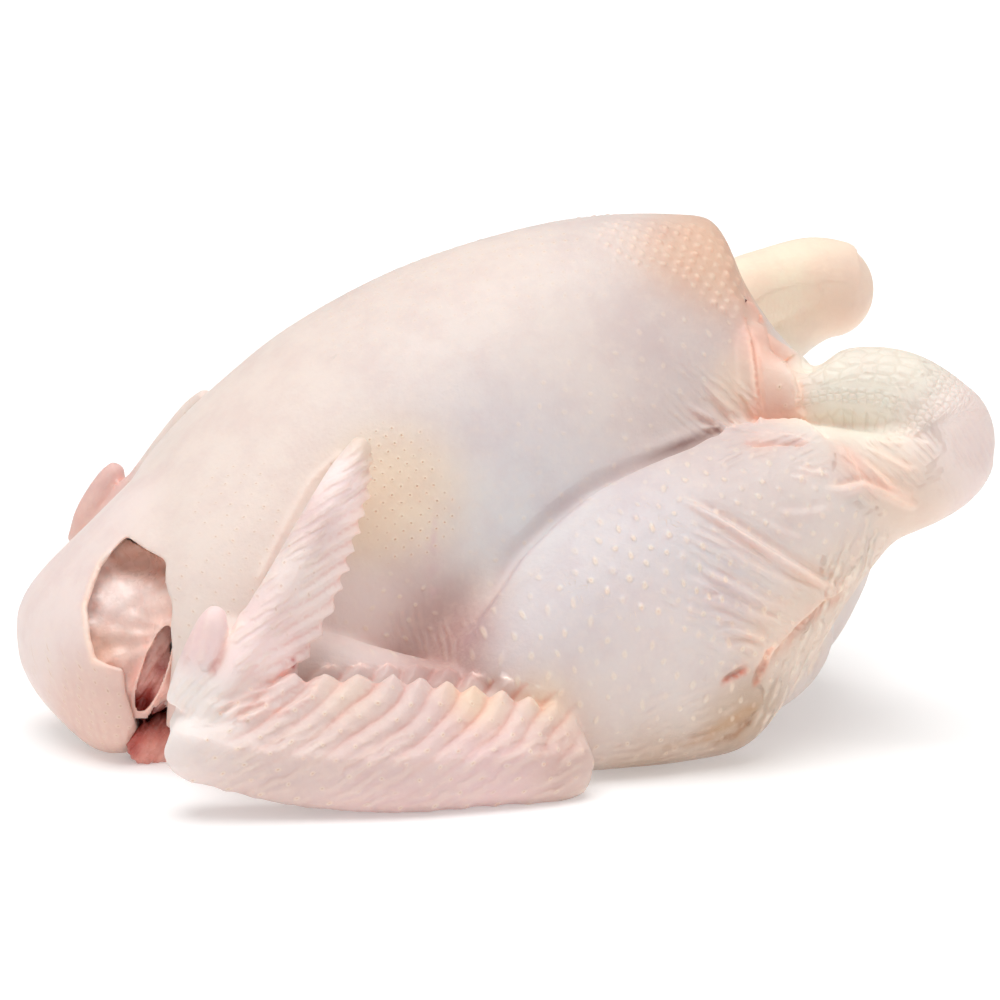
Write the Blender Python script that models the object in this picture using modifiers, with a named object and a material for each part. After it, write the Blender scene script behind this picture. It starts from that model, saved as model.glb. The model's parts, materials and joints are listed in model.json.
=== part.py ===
"""Raw whole chicken lying on its back, breast up: one solid with folded wings and tucked legs.

Frame: the neck end points to -X, the legs to +X, the breast to +Z. Metres.
The near side is -Y, the far side +Y. The bird is lofted limb by limb, fused and relaxed.
"""

import math

import bmesh
import bpy
from mathutils import Matrix, Vector

# Driving dimensions. Tables are in millimetres, and MM turns them into metres.
MM = 0.001
FLOOR_CUT = 1.1

# The skin's look
SKIN_COLOUR = (0.84, 0.71, 0.64, 1.0)
SKIN_ROUGHNESS = 0.42

# How finely the lofts and the fused skin are made
RING_POINTS = 40
EDGE_TAPER = 0.7
BLADE_THINNING = 0.62
SAME_POINT = 1e-6
STEPS_PER_SPAN = 6
FLESH_VOXEL = 2.2 * MM
FLESH_RELAX_STEPS = 16
SKIN_VOXEL = 1.5 * MM
SKIN_RELAX_STEPS = 4
TRIANGLES = 11600

NEAR = -1
FAR = 1

# Upright sections: x, y, bottom, top, half width, height of the widest point, roundness above and below
TRUNK = [
    (-106, 0, 14, 54, 22, 36, 2, 2),
    (-100, 0, 7, 62, 38, 32, 2, 2.1),
    (-93, 0, 4, 73, 52, 29, 1.9, 2.2),
    (-83, 0, 1, 84.5, 58, 29, 1.8, 2.3),
    (-71, 0, -1, 95, 59, 34, 1.8, 2.4),
    (-56, 0, -1, 106, 57, 44, 1.9, 2.4),
    (-34, 0, -1, 117.5, 57, 54, 1.95, 2.4),
    (-13, 0, -1, 125.5, 55, 60, 1.9, 2.4),
    (13, 0, -1, 132, 51, 63, 1.85, 2.4),
    (34, 0, -1, 134, 47, 66, 1.8, 2.4),
    (50, 0, -1, 133.5, 42, 68, 1.75, 2.4),
    (59, 0, 0, 131.5, 39, 68, 1.75, 2.4),
    (65, 0, 0.5, 118, 37, 60, 1.8, 2.5),
    (74, 0, 2.5, 104, 36, 48, 1.9, 2.4),
    (82, 0, 6, 95, 34, 40, 2, 2.2),
    (90, 0, 13, 84, 28, 38, 2, 2.1),
    (96, 0, 21, 73, 21, 39, 2, 2),
    (101, 0, 29, 62, 14, 41, 2, 2),
    (104, 0, 36, 52, 6, 43, 2, 2),
]
NECK = [
    (-130, 0, 20, 34, 8, 27, 2, 2),
    (-126.5, -1, 12.5, 40, 18, 27, 2, 2),
    (-120.5, -4, 5.5, 47.5, 26, 27, 2, 2.2),
    (-112, -7, -1, 56, 33, 28, 2, 2.8),
    (-101, -6, -1, 66, 37, 32, 2, 2.8),
    (-87, 0, 0, 77, 39, 34, 2, 2.3),
]
LEG = [
    (-34, -52, 16, 30, 7, 24, 2, 2),
    (-29, -52, 6, 36, 17, 24, 2, 2.2),
    (-19, -51, 0, 45, 27, 26, 2, 2.6),
    (-6, -50, -1, 57, 31.5, 29, 2, 3),
    (6, -49.5, -1, 66, 33, 32, 2, 3.5),
    (20, -49.5, -1, 73.5, 33, 36, 2, 3.5),
    (36, -49.5, -1, 79, 31.5, 41, 2, 3.2),
    (52, -49.5, 1, 83, 28.5, 46, 2, 2.7),
    (66, -49, 15, 84.5, 23.5, 54, 2, 2.2),
    (80, -49, 36, 83, 18, 61, 2, 2),
    (92, -48.5, 51, 80, 14, 66, 2, 2),
]

# Stations along a bone: x, y, z, half breadth, half thickness. The far leg is drawn up more than the near one.
DRUMSTICK = {
    NEAR: [
        (47, -51, 62.5, 20, 18),
        (67, -50, 65, 18, 16),
        (84, -49.5, 66.5, 15.5, 15),
        (98, -48.5, 69.5, 15, 14.5),
        (107, -47.5, 74, 15, 14),
        (110.5, -46, 79.5, 14.5, 13.5),
    ],
    FAR: [
        (47, 50, 66, 20, 18),
        (67, 49.5, 77, 17.5, 16),
        (84, 49, 90, 14.5, 14),
        (97, 48, 100, 13.5, 13.5),
        (106, 47.5, 103.5, 13.5, 13.5),
        (112, 47, 104, 12, 12),
    ],
}
SHANK = {
    NEAR: [
        (107.5, -47, 76.5, 14, 12.5),
        (106, -44.5, 81.5, 14, 12.5),
        (97, -42, 88.5, 13, 11.5),
        (86, -38.5, 90.5, 11.6, 10.5),
        (75.5, -34.5, 88.8, 9.8, 9.8),
        (62, -27.5, 86, 9, 9),
    ],
    FAR: [
        (110.5, 47, 104, 13, 12.5),
        (101, 46, 106, 13, 12),
        (88, 42.5, 105.5, 11.5, 10.5),
        (77, 38, 103.5, 11, 10),
        (66, 31, 99, 9.5, 9.5),
        (56, 25, 93, 9, 9),
    ],
}
HOCK = {NEAR: ((107.5, -47, 77.5), (14.5, 13.5, 17)), FAR: ((107, 47.3, 103.6), (12.5, 13, 13.5))}
VENT_SKIN = {
    NEAR: [
        (46, -18, 84, 30, 14),
        (58, -23, 87, 24, 12.5),
        (68, -29, 89, 16.5, 11.8),
        (73, -32.5, 89, 13, 11),
        (75, -33.8, 89, 10, 10),
    ],
    FAR: [
        (46, 18, 88, 26, 14),
        (55, 23, 94, 19, 12.5),
        (62, 28, 98, 14.5, 11.8),
        (67, 31.5, 99.5, 11.5, 11),
        (69, 33, 100, 10, 10),
    ],
}
HUMERUS = [
    (-84, -46, 30, 16, 15),
    (-69, -55, 25, 16, 14),
    (-38, -65, 19, 13, 12),
    (-8, -71, 16, 11, 11),
    (0, -75, 14, 9, 9),
]
RUMP = ((48, -29, 27), (36, 34, 27))

# Wing sections: x, y, z of the bone, reach to the trailing edge, reach to the leading edge, half thickness
FOREARM = [
    (2.5, -84, 10.5, 5, 7, 5),
    (-0.5, -84.5, 10.5, 9, 11, 8),
    (-8, -85.5, 11, 12, 12.5, 10),
    (-22, -87.5, 12, 15.5, 12.5, 10.5),
    (-46, -88.5, 13, 19.5, 13.5, 10.5),
    (-70, -86, 15, 18.5, 13, 10),
    (-87, -83.5, 17.5, 15.5, 11, 10),
    (-97, -82, 20.5, 10.5, 10.5, 9.5),
    (-101, -81, 22, 6, 6, 6),
]
HAND = [
    (-97, -80.5, 19, 7.5, 6, 7),
    (-90.5, -80, 28.5, 13, 7, 7),
    (-81.5, -78, 40.5, 14, 6, 6),
    (-72, -74, 53.5, 14, 5.5, 5.5),
    (-63, -69, 67, 11.5, 5, 4.5),
    (-54, -63.5, 79.5, 7.5, 4.5, 4),
    (-48.5, -60, 87.5, 2.5, 2.5, 2.5),
]
THUMB = [
    (-97, -81, 27, 6, 5),
    (-94, -80.5, 37, 5.5, 4.5),
    (-90.5, -78, 46, 4, 3.5),
    (-88.5, -76.5, 50.5, 2, 2),
]

# The far wing is spread a little more: how far its wrist and its wing tip lie from the mirrored ones
FAR_WRIST_SHIFT = (-5, -2, 6)
FAR_TIP_SHIFT = (-23, -13, -7)

# The neck skin is torn open on the near side: centre and radii of the hollow there
NECK_HOLLOW = ((-107, -46, 30), (11.5, 23, 38))


def clear_scene():
    for obj in list(bpy.data.objects):
        bpy.data.objects.remove(obj)


def skin_material():
    material = bpy.data.materials.new("raw_skin")
    material.use_nodes = True
    shader = material.node_tree.nodes["Principled BSDF"]
    shader.inputs["Base Color"].default_value = SKIN_COLOUR
    shader.inputs["Roughness"].default_value = SKIN_ROUGHNESS
    return material


def smooth_rows(rows, steps=STEPS_PER_SPAN):
    """The rows with Catmull-Rom rows between them."""
    found = []
    last = len(rows) - 1
    for i in range(last):
        before, start, end, after = rows[max(i - 1, 0)], rows[i], rows[i + 1], rows[min(i + 2, last)]
        for step in range(steps):
            t = step / steps
            found.append(
                [
                    0.5
                    * (
                        2 * q
                        + (r - p) * t
                        + (2 * p - 5 * q + 4 * r - s) * t * t
                        + (3 * q - p - 3 * r + s) * t**3
                    )
                    for p, q, r, s in zip(before, start, end, after)
                ]
            )
    return found + [list(rows[last])]


def signed_power(value, power):
    return math.copysign(abs(value) ** power, value)


def section(centre, across, up, half_width, above, below, power_above=2.0, power_below=2.0, thin=0.0):
    """One closed ring of a loft, a superellipse in two halves. `thin` narrows it towards its upper edge."""
    ring = []
    for i in range(RING_POINTS):
        turn = 2 * math.pi * i / RING_POINTS
        side, rise = math.cos(turn), math.sin(turn)
        reach, power = (above, power_above) if rise > 0 else (below, power_below)
        width = half_width * (1 - thin * max(rise, 0) ** EDGE_TAPER)
        ring.append(
            centre
            + across * width * signed_power(side, 2 / power)
            + up * reach * signed_power(rise, 2 / power)
        )
    return ring


def loft(name, rings):
    """A closed mesh object through rings of equal point count."""
    bm = bmesh.new()
    rows = [[bm.verts.new(point * MM) for point in ring] for ring in rings]
    for row, following in zip(rows, rows[1:]):
        for i in range(RING_POINTS):
            j = (i + 1) % RING_POINTS
            bm.faces.new((row[i], row[j], following[j], following[i]))
    bm.faces.new(rows[0])
    bm.faces.new(rows[-1])
    bmesh.ops.recalc_face_normals(bm, faces=bm.faces)
    mesh = bpy.data.meshes.new(name)
    bm.to_mesh(mesh)
    bm.free()
    obj = bpy.data.objects.new(name, mesh)
    bpy.context.scene.collection.objects.link(obj)
    return obj


def upright_loft(name, rows):
    """A loft along X through upright sections, for the trunk, the neck and the leg's mass."""
    across, up = Vector((0, 1, 0)), Vector((0, 0, 1))
    rings = []
    for x, y, bottom, top, half_width, wide, power_above, power_below in smooth_rows(rows):
        centre = Vector((x, y, wide))
        rings.append(
            section(centre, across, up, half_width, top - wide, wide - bottom, power_above, power_below)
        )
    return loft(name, rings)


def tangents(points):
    last = len(points) - 1
    return [(points[min(i + 1, last)] - points[max(i - 1, 0)]).normalized() for i in range(last + 1)]


def limb(name, rows, up_hint=(0, 0, 1)):
    """A loft along a limb's bone through elliptical sections."""
    rows = smooth_rows(rows)
    points = [Vector(row[:3]) for row in rows]
    rings = []
    for point, along, row in zip(points, tangents(points), rows):
        across = along.cross(Vector(up_hint)).normalized()
        up = across.cross(along)
        rings.append(section(point, across, up, row[4], row[3], row[3]))
    return loft(name, rings)


def blade(name, rows, edge_hint):
    """A flattened loft that thins towards a trailing edge, for the wing's forearm and hand."""
    rows = smooth_rows(rows)
    points = [Vector(row[:3]) for row in rows]
    rings = []
    for point, along, row in zip(points, tangents(points), rows):
        across = along.cross(Vector(edge_hint)).normalized()
        up = across.cross(along)
        rings.append(section(point, across, up, row[5], row[3], row[4], 1.8, 2.1, BLADE_THINNING))
    return loft(name, rings)


def ball(name, centre, radii):
    """An ellipsoid, from a primitive sphere."""
    bpy.ops.mesh.primitive_uv_sphere_add(segments=48, ring_count=24, radius=1.0)
    obj = bpy.context.object
    obj.name = name
    obj.data.transform(Matrix.LocRotScale(Vector(centre) * MM, None, Vector(radii) * MM))
    return obj


def on_side(rows, side):
    """Near-side rows, or their mirror image on the far side."""
    return [(row[0], row[1] * -side, *row[2:]) for row in rows]


def spread(rows, side, start_shift, end_shift):
    """Wing rows on one side. On the far side they are moved by the first shift, turning into the second."""
    rows = on_side(rows, side)
    if side == NEAR:
        return rows
    last = len(rows) - 1
    found = []
    for i, row in enumerate(rows):
        share = i / last
        moved = [row[k] + (1 - share) * start_shift[k] + share * end_shift[k] for k in range(3)]
        found.append((*moved, *row[3:]))
    return found


def fused(name, pieces, voxel, relax_steps):
    """The pieces as one skin: a voxel remesh of them all, relaxed."""
    depsgraph = bpy.context.evaluated_depsgraph_get()
    bm = bmesh.new()
    for piece in pieces:
        mesh = bpy.data.meshes.new_from_object(piece.evaluated_get(depsgraph))
        mesh.transform(piece.matrix_world)
        bm.from_mesh(mesh)
        bpy.data.meshes.remove(mesh)
    mesh = bpy.data.meshes.new(name)
    bm.to_mesh(mesh)
    bm.free()
    for piece in pieces:
        bpy.data.objects.remove(piece)
    obj = bpy.data.objects.new(name, mesh)
    bpy.context.scene.collection.objects.link(obj)
    remesh = obj.modifiers.new("fuse", "REMESH")
    remesh.mode = "VOXEL"
    remesh.voxel_size = voxel
    relax = obj.modifiers.new("relax", "SMOOTH")
    relax.factor = 0.5
    relax.iterations = relax_steps
    bpy.context.view_layer.update()
    return obj


def leg(side):
    """Thigh and drumstick, which the skin joins into one mass, and the rump beside them."""
    centre, radii = RUMP
    return [
        upright_loft("leg", on_side(LEG, side)),
        limb("drumstick", DRUMSTICK[side]),
        ball("rump", (centre[0], centre[1] * -side, centre[2]), radii),
    ]


def shank(side):
    """The scaly shank, folded back from the hock and tucked under the vent skin."""
    return [limb("shank", SHANK[side]), limb("vent_skin", VENT_SKIN[side]), ball("hock", *HOCK[side])]


def wing(side):
    still = (0, 0, 0)
    return [
        limb("humerus", on_side(HUMERUS, side)),
        blade("forearm", spread(FOREARM, side, still, FAR_WRIST_SHIFT), (0, 0.25 * -side, 1)),
        blade("hand", spread(HAND, side, FAR_WRIST_SHIFT, FAR_TIP_SHIFT), (0.8, 0, -0.6)),
        limb("thumb", spread(THUMB, side, FAR_WRIST_SHIFT, FAR_WRIST_SHIFT), (1, 0, 0)),
    ]


def carve_neck(obj):
    """Cuts the torn hollow into the near side of the neck skin."""
    cutter = ball("neck_hollow", *NECK_HOLLOW)
    cut = obj.modifiers.new("neck_hollow", "BOOLEAN")
    cut.operation = "DIFFERENCE"
    cut.object = cutter
    bpy.context.view_layer.update()
    return cutter


def thinned(obj):
    """Cuts the number of triangles down to TRIANGLES with a Decimate modifier."""
    depsgraph = bpy.context.evaluated_depsgraph_get()
    mesh = obj.evaluated_get(depsgraph).data
    mesh.calc_loop_triangles()
    facet = obj.modifiers.new("facet", "DECIMATE")
    facet.ratio = min(1, TRIANGLES / len(mesh.loop_triangles))


def settled(obj):
    """Applies the modifiers, cuts the belly flat where it rests and puts the origin under the middle."""
    bpy.context.view_layer.update()
    evaluated = obj.evaluated_get(bpy.context.evaluated_depsgraph_get())
    mesh = bpy.data.meshes.new_from_object(evaluated)
    obj.modifiers.clear()
    obj.data = mesh
    bm = bmesh.new()
    bm.from_mesh(mesh)
    lowest = min(vert.co.z for vert in bm.verts)
    level = lowest + FLOOR_CUT * MM
    geometry = bm.verts[:] + bm.edges[:] + bm.faces[:]
    cut = bmesh.ops.bisect_plane(
        bm, geom=geometry, dist=SAME_POINT, plane_co=(0, 0, level), plane_no=(0, 0, -1), clear_outer=True
    )
    rim = [item for item in cut["geom_cut"] if isinstance(item, bmesh.types.BMEdge)]
    bmesh.ops.holes_fill(bm, edges=rim, sides=0)
    xs = [vert.co.x for vert in bm.verts]
    ys = [vert.co.y for vert in bm.verts]
    centre = Vector(((min(xs) + max(xs)) / 2, (min(ys) + max(ys)) / 2, level))
    bmesh.ops.translate(bm, vec=-centre, verts=bm.verts)
    bm.to_mesh(mesh)
    bm.free()
    return centre


def main():
    clear_scene()
    flesh = [upright_loft("trunk", TRUNK), upright_loft("neck", NECK)]
    for side in (NEAR, FAR):
        flesh += leg(side)
    bpy.context.view_layer.update()
    body = fused("flesh", flesh, FLESH_VOXEL, FLESH_RELAX_STEPS)
    pieces = [body]
    for side in (NEAR, FAR):
        pieces += wing(side)
        pieces += shank(side)
    bpy.context.view_layer.update()
    chicken = fused("chicken", pieces, SKIN_VOXEL, SKIN_RELAX_STEPS)
    cutter = carve_neck(chicken)
    thinned(chicken)
    middle = settled(chicken)
    bpy.data.objects.remove(cutter)
    chicken.data.materials.append(skin_material())
    collection = bpy.data.collections.new("chicken")
    bpy.context.scene.collection.children.link(collection)
    collection.objects.link(chicken)
    bpy.context.scene.collection.objects.unlink(chicken)
    return middle


main()
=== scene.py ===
"""Raw whole chicken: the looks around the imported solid.

The skin is lofted again from part.py's stations, fused finely and given its folds, follicles, scutes
and wing ridges. The membrane and the meat that show through the torn neck skin are pieces of their own.
Everything is modelled in millimetres in part.py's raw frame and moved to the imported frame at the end.
Places named by a pixel are pixels of the photograph, cast onto the skin from the photograph's camera.
"""

import json
import math

import bmesh
import bpy
import numpy as np
from mathutils import Matrix, Vector
from mathutils.bvhtree import BVHTree

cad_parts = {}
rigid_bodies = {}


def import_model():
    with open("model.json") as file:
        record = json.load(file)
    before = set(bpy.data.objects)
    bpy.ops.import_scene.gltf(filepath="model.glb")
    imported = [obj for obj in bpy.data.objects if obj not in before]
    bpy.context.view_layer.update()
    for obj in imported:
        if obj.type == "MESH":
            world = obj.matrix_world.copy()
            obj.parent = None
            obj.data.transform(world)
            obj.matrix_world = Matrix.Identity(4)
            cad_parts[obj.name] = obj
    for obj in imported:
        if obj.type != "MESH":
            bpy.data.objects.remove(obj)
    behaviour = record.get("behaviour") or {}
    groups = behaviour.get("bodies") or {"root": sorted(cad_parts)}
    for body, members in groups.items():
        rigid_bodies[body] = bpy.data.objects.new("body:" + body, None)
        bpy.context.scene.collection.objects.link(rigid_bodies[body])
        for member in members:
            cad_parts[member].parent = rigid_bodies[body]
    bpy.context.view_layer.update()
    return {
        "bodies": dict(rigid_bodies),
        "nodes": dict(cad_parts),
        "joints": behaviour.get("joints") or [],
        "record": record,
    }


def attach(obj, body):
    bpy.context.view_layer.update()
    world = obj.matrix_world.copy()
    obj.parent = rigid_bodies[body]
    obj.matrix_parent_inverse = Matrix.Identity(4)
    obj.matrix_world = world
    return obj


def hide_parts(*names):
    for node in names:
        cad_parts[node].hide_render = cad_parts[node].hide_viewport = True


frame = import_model()

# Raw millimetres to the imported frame: what part.py moved the bird by, and the unit
MM = 0.001
MIDDLE = Vector((-4.049, -0.559, -0.189))
FLOOR = MIDDLE.z

# The photograph's camera, in raw millimetres
CAMERA_ELEVATION = math.radians(12)
CAMERA_TURN = math.radians(13)
CAMERA_AIM = Vector((0, 0, 57.45))
CAMERA_DISTANCE = 1032
FOCAL_PIXELS = 3840
IMAGE_PIXELS = 1000
SENSOR_MM = 36

# How finely the skin is made
RING_POINTS = 48
STEPS_PER_SPAN = 8
FLESH_VOXEL = 2.2
FLESH_RELAX_STEPS = 16
FINE_VOXEL = 0.68
FINE_RELAX_STEPS = 14
SKIN_TRIANGLES = 196000
EDGE_TAPER = 0.7
BLADE_THINNING = 0.62
BLADE_ROUNDNESS = (1.8, 2.1)
RELAX_FACTOR = 0.5

NEAR = -1
FAR = 1

# Upright sections: x, y, bottom, top, half width, height of the widest point, roundness above and below
TRUNK = [
    (-106, 0, 14, 54, 22, 36, 2, 2),
    (-100, 0, 7, 62, 38, 32, 2, 2.1),
    (-93, 0, 4, 73, 52, 29, 1.9, 2.2),
    (-83, 0, 1, 84.5, 58, 29, 1.8, 2.3),
    (-71, 0, -1, 95, 59, 34, 1.8, 2.4),
    (-56, 0, -1, 106, 57, 44, 1.9, 2.4),
    (-34, 0, -1, 117.5, 57, 54, 1.95, 2.4),
    (-13, 0, -1, 125.5, 55, 60, 1.9, 2.4),
    (13, 0, -1, 132, 51, 63, 1.85, 2.4),
    (34, 0, -1, 134, 47, 66, 1.8, 2.4),
    (50, 0, -1, 133.5, 42, 68, 1.75, 2.4),
    (59, 0, 0, 131.5, 39, 68, 1.75, 2.4),
    (65, 0, 0.5, 118, 37, 60, 1.8, 2.5),
    (74, 0, 2.5, 104, 36, 48, 1.9, 2.4),
    (82, 0, 6, 95, 34, 40, 2, 2.2),
    (90, 0, 13, 84, 28, 38, 2, 2.1),
    (96, 0, 21, 73, 21, 39, 2, 2),
    (101, 0, 29, 62, 14, 41, 2, 2),
    (104, 0, 36, 52, 6, 43, 2, 2),
]
NECK = [
    (-130, 0, 20, 34, 8, 27, 2, 2),
    (-126.5, -1, 12.5, 40, 18, 27, 2, 2),
    (-120.5, -4, 5.5, 47.5, 26, 27, 2, 2.2),
    (-112, -7, -1, 56, 33, 28, 2, 2.8),
    (-101, -6, -1, 66, 37, 32, 2, 2.8),
    (-87, 0, 0, 77, 39, 34, 2, 2.3),
]
LEG = [
    (-34, -52, 16, 30, 7, 24, 2, 2),
    (-29, -52, 6, 36, 17, 24, 2, 2.2),
    (-19, -51, 0, 45, 27, 26, 2, 2.6),
    (-6, -50, -1, 57, 31.5, 29, 2, 3),
    (6, -49.5, -1, 66, 33, 32, 2, 3.5),
    (20, -49.5, -1, 73.5, 33, 36, 2, 3.5),
    (36, -49.5, -1, 79, 31.5, 41, 2, 3.2),
    (52, -49.5, 1, 83, 28.5, 46, 2, 2.7),
    (66, -49, 15, 84.5, 23.5, 54, 2, 2.2),
    (80, -49, 36, 83, 18, 61, 2, 2),
    (92, -48.5, 51, 80, 14, 66, 2, 2),
]

# Stations along a bone: x, y, z, half breadth, half thickness. The far leg is drawn up more than the near
# one.
DRUMSTICK = {
    NEAR: [
        (47, -51, 62.5, 20, 18),
        (67, -50, 65, 18, 16),
        (84, -49.5, 66.5, 15.5, 15),
        (98, -48.5, 69.5, 15, 14.5),
        (107, -47.5, 74, 15, 14),
        (110.5, -46, 79.5, 14.5, 13.5),
    ],
    FAR: [
        (47, 50, 66, 20, 18),
        (67, 49.5, 77, 17.5, 16),
        (84, 49, 90, 14.5, 14),
        (97, 48, 100, 13.5, 13.5),
        (106, 47.5, 103.5, 13.5, 13.5),
        (112, 47, 104, 12, 12),
    ],
}
SHANK = {
    NEAR: [
        (107.5, -47, 76.5, 14, 12.5),
        (106, -44.5, 81.5, 14, 12.5),
        (97, -42, 88.5, 13, 11.5),
        (86, -38.5, 90.5, 11.6, 10.5),
        (75.5, -34.5, 88.8, 9.8, 9.8),
        (62, -27.5, 86, 9, 9),
    ],
    FAR: [
        (110.5, 47, 104, 13, 12.5),
        (101, 46, 106, 13, 12),
        (88, 42.5, 105.5, 11.5, 10.5),
        (77, 38, 103.5, 11, 10),
        (66, 31, 99, 9.5, 9.5),
        (56, 25, 93, 9, 9),
    ],
}
HOCK = {NEAR: ((107.5, -47, 77.5), (14.5, 13.5, 17)), FAR: ((107, 47.3, 103.6), (12.5, 13, 13.5))}
VENT_SKIN = {
    NEAR: [
        (46, -18, 84, 30, 14),
        (58, -23, 87, 24, 12.5),
        (68, -29, 89, 16.5, 11.8),
        (73, -32.5, 89, 13, 11),
        (75, -33.8, 89, 10, 10),
    ],
    FAR: [
        (46, 18, 88, 26, 14),
        (55, 23, 94, 19, 12.5),
        (62, 28, 98, 14.5, 11.8),
        (67, 31.5, 99.5, 11.5, 11),
        (69, 33, 100, 10, 10),
    ],
}
HUMERUS = [
    (-84, -46, 30, 16, 15),
    (-69, -55, 25, 16, 14),
    (-38, -65, 19, 13, 12),
    (-8, -71, 16, 11, 11),
    (0, -75, 14, 9, 9),
]
RUMP = ((48, -29, 27), (36, 34, 27))

# Wing sections: x, y, z of the bone, reach to the trailing edge, reach to the leading edge, half thickness
FOREARM = [
    (2.5, -84, 10.5, 5, 7, 5),
    (-0.5, -84.5, 10.5, 9, 11, 8),
    (-8, -85.5, 11, 12, 12.5, 10),
    (-22, -87.5, 12, 15.5, 12.5, 10.5),
    (-46, -88.5, 13, 19.5, 13.5, 10.5),
    (-70, -86, 15, 18.5, 13, 10),
    (-87, -83.5, 17.5, 15.5, 11, 10),
    (-97, -82, 20.5, 10.5, 10.5, 9.5),
    (-101, -81, 22, 6, 6, 6),
]
HAND = [
    (-97, -80.5, 19, 7.5, 6, 7),
    (-90.5, -80, 28.5, 13, 7, 7),
    (-81.5, -78, 40.5, 14, 6, 6),
    (-72, -74, 53.5, 14, 5.5, 5.5),
    (-63, -69, 67, 11.5, 5, 4.5),
    (-54, -63.5, 79.5, 7.5, 4.5, 4),
    (-48.5, -60, 87.5, 2.5, 2.5, 2.5),
]
THUMB = [
    (-97, -81, 27, 6, 5),
    (-94, -80.5, 37, 5.5, 4.5),
    (-90.5, -78, 46, 4, 3.5),
    (-88.5, -76.5, 50.5, 2, 2),
]

# The far wing is spread a little more: how far its wrist and its wing tip lie from the mirrored ones
FAR_WRIST_SHIFT = (-5, -2, 6)
FAR_TIP_SHIFT = (-23, -13, -7)


# Lofts, as in part.py


def smooth_rows(rows, steps=STEPS_PER_SPAN):
    """The rows with Catmull-Rom rows between them."""
    rows = np.array(rows, float)
    padded = np.vstack([rows[:1], rows, rows[-1:]])
    found = []
    for i in range(len(rows) - 1):
        p, q, r, s = padded[i : i + 4]
        for t in np.arange(steps) / steps:
            found.append(
                0.5
                * (
                    2 * q
                    + (r - p) * t
                    + (2 * p - 5 * q + 4 * r - s) * t * t
                    + (3 * q - p - 3 * r + s) * t**3
                )
            )
    return found + [rows[-1]]


def signed_power(value, power):
    return math.copysign(abs(value) ** power, value)


def section(centre, across, up, half_width, above, below, power_above=2.0, power_below=2.0, thin=0.0):
    """One closed ring of a loft, a superellipse in two halves. `thin` narrows it towards its upper edge."""
    ring = []
    for i in range(RING_POINTS):
        turn = 2 * math.pi * i / RING_POINTS
        side, rise = math.cos(turn), math.sin(turn)
        reach, power = (above, power_above) if rise > 0 else (below, power_below)
        width = half_width * (1 - thin * max(rise, 0) ** EDGE_TAPER)
        ring.append(
            centre
            + across * width * signed_power(side, 2 / power)
            + up * reach * signed_power(rise, 2 / power)
        )
    return ring


def mesh_object(name, bm):
    """A new object from a bmesh, which is freed."""
    mesh = bpy.data.meshes.new(name)
    bm.to_mesh(mesh)
    bm.free()
    obj = bpy.data.objects.new(name, mesh)
    bpy.context.scene.collection.objects.link(obj)
    return obj


def loft(name, rings):
    """A closed mesh object through rings of equal point count."""
    bm = bmesh.new()
    rows = [[bm.verts.new(point) for point in ring] for ring in rings]
    for row, following in zip(rows, rows[1:]):
        for i in range(len(row)):
            j = (i + 1) % len(row)
            bm.faces.new((row[i], row[j], following[j], following[i]))
    bm.faces.new(rows[0])
    bm.faces.new(rows[-1])
    bmesh.ops.recalc_face_normals(bm, faces=bm.faces)
    return mesh_object(name, bm)


def upright_loft(name, rows):
    """A loft along X through upright sections, for the trunk, the neck and the leg's mass."""
    across, up = Vector((0, 1, 0)), Vector((0, 0, 1))
    rings = []
    for x, y, bottom, top, half_width, wide, power_above, power_below in smooth_rows(rows):
        centre = Vector((x, y, wide))
        rings.append(
            section(centre, across, up, half_width, top - wide, wide - bottom, power_above, power_below)
        )
    return loft(name, rings)


def tangents(points):
    last = len(points) - 1
    return [(points[min(i + 1, last)] - points[max(i - 1, 0)]).normalized() for i in range(last + 1)]


def bone(rows, up_hint):
    """For each smoothed row of a limb: the row, its point, and the directions along, across and up."""
    rows = smooth_rows(rows)
    points = [Vector(row[:3]) for row in rows]
    found = []
    for row, point, along in zip(rows, points, tangents(points)):
        across = along.cross(Vector(up_hint)).normalized()
        found.append((row, point, along, across, across.cross(along)))
    return found


def limb(name, rows, up_hint=(0, 0, 1)):
    """A loft along a limb's bone through elliptical sections."""
    rings = []
    for row, point, _, across, up in bone(rows, up_hint):
        rings.append(section(point, across, up, row[4], row[3], row[3]))
    return loft(name, rings)


def blade(name, rows, edge_hint):
    """A flattened loft that thins towards a trailing edge, for the wing's forearm and hand."""
    rings = []
    for row, point, _, across, up in bone(rows, edge_hint):
        rings.append(section(point, across, up, row[5], row[3], row[4], *BLADE_ROUNDNESS, BLADE_THINNING))
    return loft(name, rings)


def ball(name, centre, radii):
    """An ellipsoid, from a primitive sphere."""
    bpy.ops.mesh.primitive_uv_sphere_add(segments=48, ring_count=24, radius=1.0)
    obj = bpy.context.object
    obj.name = name
    obj.data.transform(Matrix.LocRotScale(Vector(centre), None, Vector(radii)))
    return obj


def on_side(rows, side):
    """Near-side rows, or their mirror image on the far side."""
    return [(row[0], row[1] * -side, *row[2:]) for row in rows]


def spread(rows, side, start_shift, end_shift):
    """Wing rows on one side. On the far side they are moved by the first shift, turning into the second."""
    rows = on_side(rows, side)
    if side == NEAR:
        return rows
    last = len(rows) - 1
    found = []
    for i, row in enumerate(rows):
        share = i / last
        moved = [row[k] + (1 - share) * start_shift[k] + share * end_shift[k] for k in range(3)]
        found.append((*moved, *row[3:]))
    return found


def applied(obj):
    """Bakes an object's modifiers into its mesh."""
    bpy.context.view_layer.update()
    evaluated = obj.evaluated_get(bpy.context.evaluated_depsgraph_get())
    mesh = bpy.data.meshes.new_from_object(evaluated)
    obj.modifiers.clear()
    obj.data = mesh
    return obj


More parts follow.
